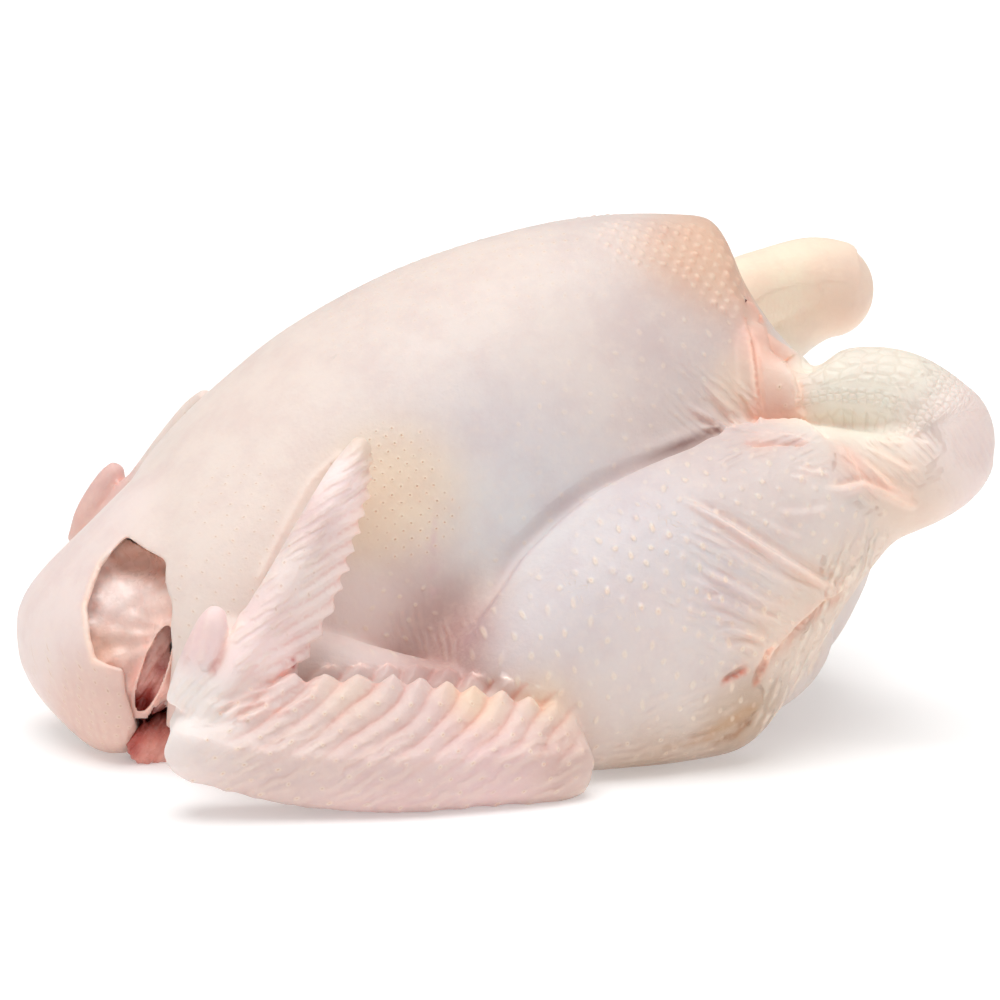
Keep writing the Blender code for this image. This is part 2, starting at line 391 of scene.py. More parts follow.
def fused(name, pieces, voxel, relax_steps):
    """The pieces as one skin: a voxel remesh of them all, relaxed."""
    bm = bmesh.new()
    for piece in pieces:
        bm.from_mesh(piece.data)
        bpy.data.objects.remove(piece)
    obj = mesh_object(name, bm)
    remesh = obj.modifiers.new("fuse", "REMESH")
    remesh.mode = "VOXEL"
    remesh.voxel_size = voxel
    relax = obj.modifiers.new("relax", "SMOOTH")
    relax.factor = RELAX_FACTOR
    relax.iterations = relax_steps
    return applied(obj)


def cut(obj, cutter):
    """Takes the cutter out of the object."""
    difference = obj.modifiers.new("cut", "BOOLEAN")
    difference.operation = "DIFFERENCE"
    difference.object = cutter
    return applied(obj)


def forearm_rows(side):
    return spread(FOREARM, side, (0, 0, 0), FAR_WRIST_SHIFT)


def hand_rows(side):
    return spread(HAND, side, FAR_WRIST_SHIFT, FAR_TIP_SHIFT)


def forearm_edge(side):
    """The direction that the forearm's trailing edge points in."""
    return (0, 0.25 * -side, 1)


HAND_EDGE = (0.8, 0, -0.6)


def leg(side):
    """Thigh and drumstick, which the skin joins into one mass, and the rump beside them."""
    centre, radii = RUMP
    return [
        upright_loft("leg", on_side(LEG, side)),
        limb("drumstick", DRUMSTICK[side]),
        ball("rump", (centre[0], centre[1] * -side, centre[2]), radii),
    ]


def shank(side):
    """The scaly shank, folded back from the hock and tucked under the vent skin."""
    return [limb("shank", SHANK[side]), limb("vent_skin", VENT_SKIN[side]), ball("hock", *HOCK[side])]


def wing(side):
    return [
        limb("humerus", on_side(HUMERUS, side)),
        blade("forearm", forearm_rows(side), forearm_edge(side)),
        blade("hand", hand_rows(side), HAND_EDGE),
        limb("thumb", spread(THUMB, side, FAR_WRIST_SHIFT, FAR_WRIST_SHIFT), (1, 0, 0)),
    ]


# The photograph's camera


class PhotoView:
    """Where the photograph was taken from, for casting its pixels onto the skin."""

    def __init__(self):
        e, a = CAMERA_ELEVATION, CAMERA_TURN
        self.back = Vector((-math.sin(a) * math.cos(e), -math.cos(a) * math.cos(e), math.sin(e)))
        self.right = Vector((math.cos(a), -math.sin(a), 0))
        self.up = self.right.cross(-self.back)
        self.place = CAMERA_AIM + self.back * CAMERA_DISTANCE

    def direction(self, pixel):
        half = IMAGE_PIXELS / 2
        x, y = (pixel[0] - half) / FOCAL_PIXELS, (pixel[1] - half) / FOCAL_PIXELS
        return (-self.back + self.right * x - self.up * y).normalized()

    def on(self, tree, pixel):
        """The place on a surface that a pixel shows."""
        hit = tree.ray_cast(self.place, self.direction(pixel))[0]
        if hit is None:
            raise ValueError(f"pixel {pixel} misses the bird")
        return np.array(hit)

    def at_depth(self, pixel, y):
        """The place that a pixel shows at a given depth."""
        direction = self.direction(pixel)
        return self.place + direction * ((y - self.place.y) / direction.y)


VIEW = PhotoView()


# Meshes as arrays


def smoothstep(low, high, value):
    t = np.clip((value - low) / (high - low), 0, 1)
    return t * t * (3 - 2 * t)


def rgb(red, green, blue):
    """A screen colour from 0 to 255 as linear light."""
    return np.array([((c / 255 + 0.055) / 1.055) ** 2.4 for c in (red, green, blue)])


def hash01(*cells):
    """A repeatable random number from 0 to 1 for each whole-number cell."""
    total = sum(cell * step for cell, step in zip(cells, (12.9898, 78.233, 37.719)))
    found = np.sin(total) * 43758.5453
    return found - np.floor(found)


def wavy(points, size, seed=0):
    """Smooth repeatable noise from -1 to 1 over space, with features of about the given size."""
    q = points / size + seed * 7.31
    total = np.zeros(len(points))
    for turn, weight in ((0.0, 0.5), (1.1, 0.3), (2.3, 0.2)):
        c, s = math.cos(turn), math.sin(turn)
        x, y, z = q[:, 0] * c + q[:, 1] * s, q[:, 1] * c - q[:, 0] * s, q[:, 2] + turn
        scale = 1 + turn
        total += weight * np.sin(x * scale * 1.9 + np.sin(y * scale * 1.3 + z)) * np.cos(
            z * scale * 1.7 + np.sin(x * scale * 1.1 + y)
        )
    return total


class Skin:
    """A mesh's points and normals as arrays."""

    def __init__(self, obj):
        self.obj = obj
        mesh = obj.data
        self.count = len(mesh.vertices)
        self.points = np.empty(self.count * 3, np.float32)
        mesh.vertices.foreach_get("co", self.points)
        self.points = self.points.reshape(-1, 3).astype(float)
        self.read_normals()

    def read_normals(self):
        normals = np.empty(self.count * 3, np.float32)
        self.obj.data.vertices.foreach_get("normal", normals)
        self.normals = normals.reshape(-1, 3).astype(float)

    def write_points(self):
        self.obj.data.vertices.foreach_set("co", self.points.astype(np.float32).ravel())
        self.obj.data.update()
        self.read_normals()

    def push(self, amount):
        self.points += self.normals * amount[:, None]

    def tree(self):
        bm = bmesh.new()
        bm.from_mesh(self.obj.data)
        tree = BVHTree.FromBMesh(bm)
        bm.free()
        return tree


def along_line(skin, line, reach):
    """The points within reach of a polyline: their indices, distance, place along it (0 to 1) and side."""
    line = np.array(line, float)
    low, high = line.min(0) - reach, line.max(0) + reach
    inside = np.nonzero(((skin.points > low) & (skin.points < high)).all(1))[0]
    points, normals = skin.points[inside], skin.normals[inside]
    lengths = np.linalg.norm(np.diff(line, axis=0), axis=1)
    starts = np.concatenate([[0], np.cumsum(lengths)])
    nearest = np.full(len(inside), 1e9)
    place = np.zeros(len(inside))
    side = np.ones(len(inside))
    for a, b, length, start in zip(line, line[1:], lengths, starts):
        ahead = (b - a) / length
        t = np.clip((points - a) @ ahead, 0, length)
        away = points - (a + t[:, None] * ahead)
        distance = np.linalg.norm(away, axis=1)
        closer = distance < nearest
        nearest[closer] = distance[closer]
        place[closer] = (start + t[closer]) / starts[-1]
        turned = np.cross(normals, ahead)
        side[closer] = np.sign(np.einsum("ij,ij->i", away, turned))[closer]
    kept = nearest < reach
    return inside[kept], nearest[kept], place[kept], side[kept]


def both_sides(tree, pixels, mirror=True):
    """A polyline of pixels cast onto the skin, and its mirror image laid on the far side if asked.

    The far line runs the other way, so that both lines have the same side on their left.
    """
    near = np.array([VIEW.on(tree, pixel) for pixel in pixels])
    if not mirror:
        return [near]
    far = [tree.find_nearest(Vector((x, -y, z)))[0] for x, y, z in near[::-1]]
    return [near, np.array(far)]


def ends_fade(place, start, end):
    """1 along a line, falling to 0 over the given shares of it at its start and end."""
    return smoothstep(0, start, place) * smoothstep(0, end, 1 - place)


def fold(skin, line, height, width, groove, step, groove_side, fade):
    """How far a fold moves the skin: a ridge along a line, a groove beside it, and a step up beyond it."""
    reach = width * 5 if step == 0 else width * 9
    index, distance, place, side = along_line(skin, line, reach)
    signed = distance * side * groove_side
    push = height * np.exp(-((distance / width) ** 2))
    push -= groove * np.exp(-(((signed - 1.4 * width) / width) ** 2))
    if step:
        push += step * smoothstep(0.5 * width, -0.5 * width, signed) * smoothstep(reach, 0, distance)
    amount = np.zeros(skin.count)
    amount[index] = push * ends_fade(place, *fade)
    return amount


# Where the folds run, as pixels of the photograph

CREASE = [(735, 432), (690, 450), (640, 470), (600, 490), (560, 520), (520, 560), (480, 620), (450, 670)]
# Ridges of the leg's skin: pixels, height and width in mm, and the depth of the groove below
LEG_RIDGES = [
    ([(672, 492), (683, 501), (717, 519), (756, 543), (798, 568), (821, 582), (841, 588)], 1.7, 1.2, 1.2),
    ([(700, 523), (734, 543), (773, 568), (821, 593)], 0.8, 0.9, 0.6),
    ([(681, 523), (717, 543), (756, 562)], 0.4, 0.9, 0.3),
    ([(820, 489), (841, 491), (863, 485), (874, 489), (897, 498), (919, 508)], 1.6, 1.0, 0.9),
    ([(836, 442), (846, 456), (857, 473), (863, 484)], 1.2, 0.9, 0.8),
    ([(857, 453), (871, 470), (891, 487), (914, 498)], 1.1, 0.9, 0.8),
    ([(863, 444), (885, 458), (914, 473)], 0.9, 0.9, 0.6),
    ([(862, 436), (883, 444), (905, 444)], 0.7, 0.9, 0.4),
    ([(880, 436), (905, 438), (930, 446)], 0.4, 0.8, 0.3),
    ([(796, 467), (813, 473), (829, 475)], 0.6, 0.7, 0.4),
    ([(790, 475), (807, 481)], 0.5, 0.7, 0.3),
    ([(768, 523), (784, 534), (801, 540)], 0.6, 1.1, 0.3),
    ([(773, 512), (801, 515), (829, 509)], 0.6, 1.1, 0.3),
    ([(742, 436), (765, 434), (790, 437), (812, 446)], 0.7, 0.8, 0.6),
]
LEG_LIP = [(717, 442), (734, 433), (756, 428), (779, 426), (801, 426), (814, 435), (827, 442), (841, 438)]
LIP_GROOVE = [(740, 442), (756, 444), (779, 442), (798, 444), (815, 443)]
BREAST_FOLDS = [
    [(762, 429), (754, 414), (740, 388), (728, 369)],
    [(742, 429), (728, 411), (711, 394), (700, 380)],
    [(728, 429), (711, 419), (695, 411), (681, 400)],
    [(740, 430), (717, 428), (697, 429)],
]
BREAST_REAR_EDGE = [(734, 293), (742, 313), (751, 338), (755, 366), (758, 394), (762, 426)]
SHANK_FLAP_EDGE = [
    (744, 297), (756, 313), (773, 335), (787, 355), (794, 377), (797, 388), (798, 405), (802, 425),
]
THIGH_FOLDS = [
    [(699, 598), (720, 600), (738, 607)],
    [(701, 609), (723, 615), (744, 624), (768, 635)],
    [(712, 629), (733, 628), (755, 635), (772, 639)],
    [(718, 645), (744, 644), (762, 648)],
    [(681, 578), (701, 583), (725, 596), (755, 613), (788, 624)],
    [(699, 568), (733, 585), (766, 600), (798, 613)],
    [(712, 544), (746, 563), (777, 576), (809, 592)],
]
SLITS = [
    [(716, 686), (731, 679), (744, 672), (751, 666)],
    [(751, 690), (759, 678), (766, 663), (768, 653), (777, 641)],
]
WEB_EDGE = [
    (844, 578), (829, 594), (818, 600), (805, 613), (790, 625), (777, 640), (768, 654), (762, 672),
]
WRIST_FOLDS = [
    [(204, 709), (222, 704), (245, 696), (270, 686), (288, 684)],
    [(219, 719), (237, 709), (255, 704), (275, 696)],
    [(240, 722), (258, 714), (270, 709)],
]
HAND_RIM = [(203, 690), (239, 626), (260, 576), (278, 541), (295, 509), (312, 480), (338, 456), (358, 441)]
TORN_EDGE = [(112, 546), (99, 564), (92, 582), (84, 607), (87, 637), (93, 661), (108, 669), (120, 672)]

EVEN = (0.25, 0.25)

# The folds: their lines, height and width, the depth of the groove beside them and the height of the step
# beyond it, all in mm, the groove's side, the shares of the line that they fade over at its ends, and
# whether the far side has them too
FOLDS = [
    ([CREASE], -1.0, 1.8, 3.0, 1.6, -1, (0.1, 0.5), True),
    *(([line], *sizes, 0, 1, (0.3, 0.12), True) for line, *sizes in LEG_RIDGES),
    ([LEG_LIP], 1.2, 1.2, 1.4, 1.2, 1, (0.12, 0.25), True),
    ([LIP_GROOVE], -1.6, 0.9, 0.0, 0.0, 1, EVEN, True),
    (BREAST_FOLDS, 1.0, 0.9, 0.7, 0.0, 1, (0.1, 0.5), True),
    ([BREAST_REAR_EDGE], 0.2, 0.6, 0.6, 1.3, 1, (0.08, 0.05), True),
    ([SHANK_FLAP_EDGE], 0.2, 0.6, 0.6, 1.1, 1, (0.08, 0.05), True),
    (THIGH_FOLDS, 0.8, 1.0, 0.7, 0.0, 1, EVEN, True),
    (SLITS, 0.0, 0.7, 1.8, 0.9, 1, (0.4, 0.3), True),
    ([WEB_EDGE], 0.3, 0.8, 1.0, 1.9, 1, (0.08, 0.2), True),
    (WRIST_FOLDS, 1.1, 1.1, 0.9, 0.0, 1, EVEN, True),
    ([HAND_RIM], 0.6, 1.1, 0.0, 0.0, 1, (0.1, 0.1), True),
    ([TORN_EDGE], 0.6, 0.8, 0.0, 0.0, 1, (0.1, 0.1), False),
]


def bare_skin():
    """The bird's skin before its relief: flesh fused coarsely, then wings and shanks fused on finely."""
    flesh = [upright_loft("trunk", TRUNK), upright_loft("neck", NECK)]
    for side in (NEAR, FAR):
        flesh += leg(side)
    body = fused("flesh", flesh, FLESH_VOXEL, FLESH_RELAX_STEPS)
    pieces = [body]
    for side in (NEAR, FAR):
        pieces += wing(side)
        pieces += shank(side)
    tree = Skin(body).tree()
    hollow = neck_cutter(tree)
    near_upper_arm = pieces[1]
    for piece in (body, near_upper_arm):
        cut(piece, hollow)
    bpy.data.objects.remove(hollow)
    return fused("skin", pieces, FINE_VOXEL, FINE_RELAX_STEPS), tree


# Fine creases over a field: pixels of its middle line, its reach in mm, two pixels along the creases, the
# distance between creases in mm and how strong they are
CREASE_FIELDS = [
    ([(850, 588), (836, 618), (818, 646), (805, 668), (792, 690)], 18, (848, 595), (826, 645), 2.1, 2.0),
    ([(735, 560), (790, 600)], 15, (717, 519), (821, 582), 2.3, 0.45),
    ([(740, 635), (690, 605)], 10, (701, 609), (768, 635), 2.6, 0.42),
    ([(660, 716), (735, 704)], 8, (640, 722), (760, 672), 2.4, 0.3),
    ([(870, 462), (905, 452), (930, 440)], 11, (850, 440), (905, 488), 1.9, 0.5),
    ([(930, 400), (965, 450)], 14, (930, 400), (965, 470), 1.7, 0.25),
    ([(700, 400), (735, 415)], 10, (692, 380), (745, 428), 2.2, 0.5),
    ([(740, 452), (800, 450)], 8, (735, 470), (800, 440), 1.9, 0.35),
    ([(700, 750), (650, 758), (610, 758)], 8, (610, 760), (700, 742), 2.0, 0.35),
    ([(60, 690), (100, 735)], 12, (96, 670), (112, 745), 2.2, 0.25),
    ([(245, 640), (290, 560), (340, 470)], 11, (240, 640), (305, 600), 2.1, 0.6),
    ([(205, 650), (215, 615)], 6, (200, 660), (218, 600), 1.5, 0.4),
    ([(200, 690), (240, 700)], 9, (190, 730), (250, 660), 2.4, 0.5),
    ([(240, 760), (380, 780), (560, 770)], 13, (240, 770), (330, 722), 3.0, 0.5),
    ([(450, 640), (420, 620)], 10, (430, 600), (445, 670), 1.8, 0.25),
]

# Local swellings and dents: a pixel, a reach and a height in mm, and whether the far side has it too
SWELLINGS = [
    ((846, 577), 2.6, 1.0, True),
    ((799, 347), 6.5, -8.0, False),
    ((778, 338), 5, -2.5, False),
    ((85, 520), 4, 1.3, False),
    ((98, 503), 3.5, 1.2, False),
    ((118, 485), 3.5, 1.2, False),
    ((213, 620), 3.5, 0.8, True),
    ((286, 668), 4, 0.8, True),
    ((720, 684), 4, 1.0, True),
    ((776, 622), 5, 0.8, True),
    ((690, 640), 7, 0.7, True),
    ((840, 505), 8, 0.6, True),
]


def crease_places(skin, tree):
    """For each point, its field's phase and strength of creases, which fades where fields meet."""
    best = np.full(skin.count, -1e9)
    second = best.copy()
    phase = np.zeros(skin.count)
    rise = np.zeros(skin.count)
    near = skin.points.copy()
    near[:, 1] = -np.abs(near[:, 1])
    warp = wavy(skin.points, 7, 21)
    for pixels, reach, start, end, pitch, height in CREASE_FIELDS:
        line = [VIEW.on(tree, pixel) for pixel in pixels]
        score = 1 - (near_line(near, line) + 1.5 * warp) / (1.2 * reach)
        along = VIEW.on(tree, end) - VIEW.on(tree, start)
        beside = np.cross(along / np.linalg.norm(along), np.array(VIEW.back))
        won = score > best
        second = np.where(won, best, np.maximum(second, score))
        best = np.maximum(best, score)
        phase[won] = (near @ beside / pitch)[won]
        rise[won] = height
    rise *= smoothstep(0, 0.65, best) * smoothstep(0, 0.16, best - second)
    return np.column_stack([phase, rise, np.zeros(skin.count)])


def swelling(skin, place, reach, height):
    return height * np.exp(-(((skin.points - place) ** 2).sum(1)) / (reach * reach))


def add_folds(skin, tree):
    """How far the folds and swellings move each point along its normal."""
    total = np.zeros(skin.count)
    for lines, height, width, groove, step, groove_side, fade, mirror in FOLDS:
        for pixels in lines:
            for line in both_sides(tree, pixels, mirror):
                total += fold(skin, line, height, width, groove, step, groove_side, fade)
    for pixel, reach, height, mirrored in SWELLINGS:
        place = VIEW.on(tree, pixel)
        total += swelling(skin, place, reach, height)
        if mirrored:
            total += swelling(skin, place * np.array([1, -1, 1]), reach, height)
    return total


# Follicles, wing ridges and scutes

DOT_SPREAD = 0.6
TRUNK_AXIS_HEIGHT = 55
TRUNK_AXIS_RADIUS = 62

# Follicle fields: pixels of the field's middle line, its reach in mm, the pitch in mm, how far the dots
# rise, how pale they are, how dark their pores are, and the turn of the rows in degrees
FOLLICLE_FIELDS = [
    ([(630, 560), (690, 590), (745, 645)], 20, 4.0, 0.5, 1.0, 0.22, 20),
    ([(540, 640), (640, 690), (700, 700)], 22, 4.7, 0.24, 0.8, 0.1, 35),
    ([(690, 490), (790, 495), (860, 540)], 15, 4.3, 0.45, 0.8, 0.1, 30),
    ([(570, 420), (640, 385), (700, 350)], 18, 6.0, 0.15, 0.5, 0.1, 12),
    ([(500, 570), (560, 500), (590, 450)], 14, 6.6, 0.12, 0.5, 0.1, 12),
    ([(393, 465), (412, 520)], 13, 3.0, 0.16, 0.7, 0.8, 45),
    ([(350, 330), (470, 290), (570, 280)], 12, 3.3, 0.05, 0.25, 0.16, 5),
    ([(630, 238), (700, 258), (722, 285)], 13, 2.9, 0.85, 0.45, 0.1, 30),
    ([(330, 310), (450, 262), (560, 240)], 8, 3.1, 0.14, 0.45, 0.25, 5),
    ([(50, 680), (90, 705), (115, 745)], 13, 3.2, 0.14, 0.5, 0.55, 0),
    ([(235, 500), (270, 580), (200, 600)], 15, 4.0, 0.08, 0.35, 0.4, 20),
    ([(400, 610), (370, 640)], 12, 5.2, 0.3, 0.8, 0.1, 20),
    ([(768, 345), (785, 410)], 5, 5.4, 0.3, 0.9, 0.7, 70),
    ([(830, 610), (795, 680)], 12, 4.0, 0.15, 0.5, 0.3, 60),
    ([(600, 750), (700, 745)], 9, 3.6, 0.25, 0.5, 0.4, 30),
]


def unrolled(skin):
    """Flat places on the trunk's flank: along the bird, and round it from the keel."""
    rise = skin.points[:, 2] - TRUNK_AXIS_HEIGHT
    return skin.points[:, 0], np.arctan2(np.abs(skin.points[:, 1]), rise) * TRUNK_AXIS_RADIUS


def near_line(points, line):
    """The distance of each point, as if it lay on the near side, from a polyline laid there as well."""
    line = np.array(line, float)
    line[:, 1] = -np.abs(line[:, 1])
    points = np.column_stack([points[:, 0], -np.abs(points[:, 1]), points[:, 2]])
    nearest = np.full(len(points), 1e9)
    for a, b in zip(line, line[1:]):
        ahead = b - a
        t = np.clip((points - a) @ ahead / (ahead @ ahead), 0, 1)
        nearest = np.minimum(nearest, np.linalg.norm(points - (a + t[:, None] * ahead), axis=1))
    return nearest


class Follicles:
    """Where each point lies in its field's lattice, and how strong the dots are there."""

    def __init__(self, skin):
        self.skin = skin
        self.cells = np.zeros((skin.count, 2))
        self.best, self.second, self.rise, self.pale, self.pore = np.zeros((5, skin.count))
        self.pitch = np.ones(skin.count)

    def add(self, weight, cells, rise, pale, pore, pitch):
        """Gives a field to the points where its weight is the largest so far."""
        won = weight > self.best
        self.second = np.where(won, self.best, np.maximum(self.second, weight))
        self.best = np.maximum(self.best, weight)
        self.cells[won] = cells[won]
        self.rise[won] = rise
        self.pale[won] = pale
        self.pore[won] = pore
        self.pitch[won] = pitch

    def add_fields(self, tree):
        points = self.skin.points
        along, round_ = unrolled(self.skin)
        warp = wavy(points, 14)
        drift = wavy(points, 11, 3)
        for pixels, reach, pitch, rise, pale, pore, turn in FOLLICLE_FIELDS:
            line = [VIEW.on(tree, pixel) for pixel in pixels]
            weight = smoothstep(reach * 1.2, reach * 0.35, near_line(points, line) + 2.5 * warp)
            c, s = math.cos(math.radians(turn)), math.sin(math.radians(turn))
            u = (along * c + round_ * s) / pitch + 0.3 * warp + 0.17 * wavy(points, pitch * 2, 6)
            v = (round_ * c - along * s) / pitch + 0.3 * drift + 0.17 * wavy(points, pitch * 2, 8)
            self.add(weight, np.stack([u, v], 1), rise, pale, pore, pitch)

    def strength(self):
        return smoothstep(0.0, 0.8, self.best) * smoothstep(0, 0.12, self.best - self.second)

    def relief(self):
        """How far the dots raise the skin."""
        cell = np.round(self.cells)
        offset = (self.cells - cell) * self.pitch[:, None]
        height = np.exp(-(offset**2).sum(1) / DOT_SPREAD)
        share = 0.35 + 0.65 * hash01(cell[:, 0], cell[:, 1])
        return self.rise * self.strength() * height * share


def limb_places(skin, rows, up_hint, reach):
    """The points near a limb: their indices, distance along its bone, and offsets across and up."""
    frames = bone(rows, up_hint)
    points = np.array([frame[1] for frame in frames])
    inside = np.nonzero(
        ((skin.points > points.min(0) - reach) & (skin.points < points.max(0) + reach)).all(1)
    )[0]
    near = skin.points[inside]
    best = np.full(len(inside), 1e9)
    pick = np.zeros(len(inside), int)
    for i, point in enumerate(points):
        distance = ((near - point) ** 2).sum(1)
        closer = distance < best
        best[closer] = distance[closer]
        pick[closer] = i
    steps = np.linalg.norm(np.diff(points, axis=0), axis=1)
    starts = np.concatenate([[0], np.cumsum(steps)])
    ahead, across, up = (np.array([frame[k] for frame in frames])[pick] for k in (2, 3, 4))
    sizes = np.array([frame[0] for frame in frames])[pick]
    offset = near - points[pick]
    place = starts[pick] + (offset * ahead).sum(1)
    return inside, place, (offset * across).sum(1), (offset * up).sum(1), sizes, up, starts[-1]


def pleats(phase, sharp):
    """Round ridges with narrow grooves between them, from 0 to 1, a ridge at each whole number."""
    away = np.abs(phase - np.round(phase)) * 2
    return 1 - away ** (2 * sharp)


FOREARM_PITCH = 8.4
FOREARM_DOTS = (0.0, 0.75, 0.45, 5.6)
HAND_PITCH = 6.4


def limb_area(skin, rows, up_hint, reach, margin):
    """What limb_places gives for the points on a flattened limb, with the limb's length last."""
    *found, length = limb_places(skin, rows, up_hint, reach)
    _, _, across, up, sizes, _ = found
    held = (np.abs(across) < sizes[:, 5] + margin) & (up > -sizes[:, 4] - 3) & (up < sizes[:, 3] + 4)
    return [values[held] for values in found] + [length]


def forearm_relief(skin, follicles, side):
    """The forearm's slanting pleats: points, edge direction, rise, scallop and groove. It sets dots too."""
    index, place, _, up, sizes, edge, length = limb_area(
        skin, forearm_rows(side), forearm_edge(side), 24, 3
    )
    points = skin.points[index]
    uneven = 0.8 + 0.35 * wavy(points, 9, 12)
    from_wrist = length - place
    share = up / sizes[:, 3]
    ends = smoothstep(8, 22, from_wrist) * smoothstep(-4, 10, place)
    phase = (from_wrist - 1.45 * up + 0.0175 * up * up) / FOREARM_PITCH + 0.2 * wavy(points, 13, 5)
    climb = (up + 0.35 * from_wrist) / 5.2 + 0.5 * phase + 0.12 * wavy(points, 5, 9)
    ridge = pleats(phase, 0.8)
    size = ends * (0.12 + 0.88 * smoothstep(-0.35, 0.55, share)) * uneven
    height = size * (ridge - 0.6)
    away = (phase - np.round(phase)) ** 2 / 0.06 + (climb - np.round(climb)) ** 2 / 0.07
    height += 0.45 * smoothstep(0, 12, from_wrist) * np.exp(-away) * smoothstep(1.0, 0.7, share)
    scallop = ends * smoothstep(0.72, 1.0, share) * (1.9 * pleats(phase + 0.1, 0.5) - 0.8)
    weight = np.zeros(skin.count)
    weight[index] = 1.1 * smoothstep(1.0, 0.75, share) * smoothstep(2, 12, from_wrist)
    cells = np.zeros((skin.count, 2))
    cells[index] = np.stack([phase, climb], 1)
    follicles.add(weight, cells, *FOREARM_DOTS)
    return index, edge, height, scallop, size * smoothstep(0.45, 0.05, ridge)


def hand_relief(skin, _, side):
    """The hand's slanting pleats, with finer ones between them, as forearm_relief gives them."""
    index, place, _, up, sizes, edge, length = limb_area(skin, hand_rows(side), HAND_EDGE, 20, 2.5)
    points = skin.points[index]
    uneven = 0.8 + 0.35 * wavy(points, 9, 12)
    share = up / sizes[:, 3]
    ends = smoothstep(8, 20, place) * smoothstep(length + 2, length - 7, place)
    phase = (place - 1.5 * up) / HAND_PITCH + 0.18 * wavy(points, 13, 5)
    ridge = pleats(phase, 0.7)
    half = pleats(phase * 2 + 0.35 * wavy(points, 5, 9), 0.8)
    size = smoothstep(-0.1, 0.6, share) * ends * uneven
    height = size * (0.6 * ridge + 0.35 * half - 0.55)
    scallop = ends * smoothstep(0.7, 1.0, share) * (1.7 * pleats(phase, 0.45) - 0.8)
    return index, edge, height, scallop, 0.9 * size * smoothstep(0.5, 0.05, ridge)


def wing_relief(skin, follicles, side):
    """How far each point moves into the wing's pleats and scallops, and how deep in a groove it lies."""
    move = np.zeros((skin.count, 3))
    groove = np.zeros(skin.count)
    for relief in (forearm_relief, hand_relief):
        index, edge, height, scallop, depth = relief(skin, follicles, side)
        move[index] += skin.normals[index] * height[:, None] + edge * scallop[:, None]
        groove[index] = np.maximum(groove[index], depth)
    return move, groove


# Bands of scales round the shank: the turns from its top that each starts and ends at, in degrees, and the
# scale's length and width in mm. Near the hock all scales are small.
SCUTE_BANDS = [(-80, 70, 3.6, 3.1), (70, 100, 1.9, 1.7), (100, 172, 3.3, 7.5), (172, 280, 1.8, 1.8)]
HOCK_SCALE = 1.7
HOCK_REACH = 16
SHANK_WIDTH = 16
# How far along the shank its scales go, and how strong they are
SHANK_SEEN = {NEAR: 43, FAR: 46}
SCUTE_STRENGTH = {NEAR: 1.0, FAR: 0.12}


def shank_scutes(skin, side):
    """Flat places in the shank's scales: large along its top and its inner bend, fine between them."""
    index, place, across, up, sizes, _, _ = limb_places(skin, SHANK[side], (0, 0, 1), SHANK_WIDTH)
    radial = np.hypot(across / sizes[:, 4], up / sizes[:, 3])
    held = radial < 1.3
    index, place, across, up, sizes, radial = (
        values[held] for values in (index, place, across, up, sizes, radial)
    )
    turn = np.degrees(np.arctan2(across * side, up))
    turn = np.where(turn < -80, turn + 360, turn)
    warp = wavy(skin.points[index], 6, 2)
    cells = np.zeros((len(index), 2))
    from_hock = place + 2 * warp - HOCK_REACH
    border = np.abs(from_hock)
    for low, high, long, wide in SCUTE_BANDS:
        inside = (turn + 4 * warp >= low) & (turn + 4 * warp < high)
        arc = np.radians(turn - low) * sizes[:, 4]
        cells[inside] = np.stack([place / long + 0.15 * warp, arc / wide + 0.5], 1)[inside]
        if low > SCUTE_BANDS[0][0]:
            edge = np.abs(np.radians(turn + 4 * warp - low)) * sizes[:, 4]
            border = np.minimum(border, np.where(from_hock > 0, edge, 9))
    small = from_hock < 0
    fine = np.stack([place, np.radians(turn) * sizes[:, 4]], 1) / HOCK_SCALE
    cells[small] = fine[small]
    amount = smoothstep(-2, 10, place) * smoothstep(1.3, 1.2, radial) * smoothstep(0.6, 1.2, border)
    amount *= SCUTE_STRENGTH[side] * smoothstep(SHANK_SEEN[side] + 1, SHANK_SEEN[side] - 1, place)
    values = np.zeros((skin.count, 3))
    values[index] = np.stack([cells[:, 0], cells[:, 1], amount], 1)
    return values


# The torn neck

NECK_OPENING = [
    (126, 536), (114, 549), (101, 566), (94, 582), (86, 607), (89, 635), (95, 658), (108, 665),
    (123, 668), (126, 693), (135, 721), (126, 741), (129, 760), (166, 762), (165, 724), (169, 684),
    (172, 652), (170, 627), (172, 607), (164, 581), (166, 561), (144, 549),
]
NECK_FLOOR_DEPTH = -40
# Below this row of pixels the opening runs off under the bird
NECK_FLOOR_ROW = 750
# The cutter's rings: how deep each lies behind the torn edge, in mm, and how far it is widened
NECK_CUTTER_RINGS = [(-14, 0.02), (1.8, 0.0), (3.4, 0.08), (9, 0.12), (17, 0.0), (23, -0.3)]
# Between these rows of pixels the widening fades out upwards
CUTTER_FADE = (545, 600)

# The membrane: its lens-shaped hole as middle, half sizes and tilt in degrees, the columns and rows of
# pixels that it covers, the row that all but the hole's rim ends at, and that rim's width
LENS_HOLE = ((154, 669), (11, 44), 19)
MEMBRANE_COLUMNS = (70, 186)
MEMBRANE_ROWS = (522, 720)
MEMBRANE_FOOT = 708
LENS_RIM = 1.5
MEMBRANE_STEP = 1.6
MEMBRANE_MARGIN = 0.1
MEMBRANE_FADE = (540, 600)
MEMBRANE_THICKNESS = 0.6


def opening_points(tree):
    """The opening's outline on the skin, and at a set depth where it runs off under the bird."""
    rim = []
    for pixel in NECK_OPENING:
        low = pixel[1] > NECK_FLOOR_ROW
        rim.append(np.array(VIEW.at_depth(pixel, NECK_FLOOR_DEPTH)) if low else VIEW.on(tree, pixel))
    return rim


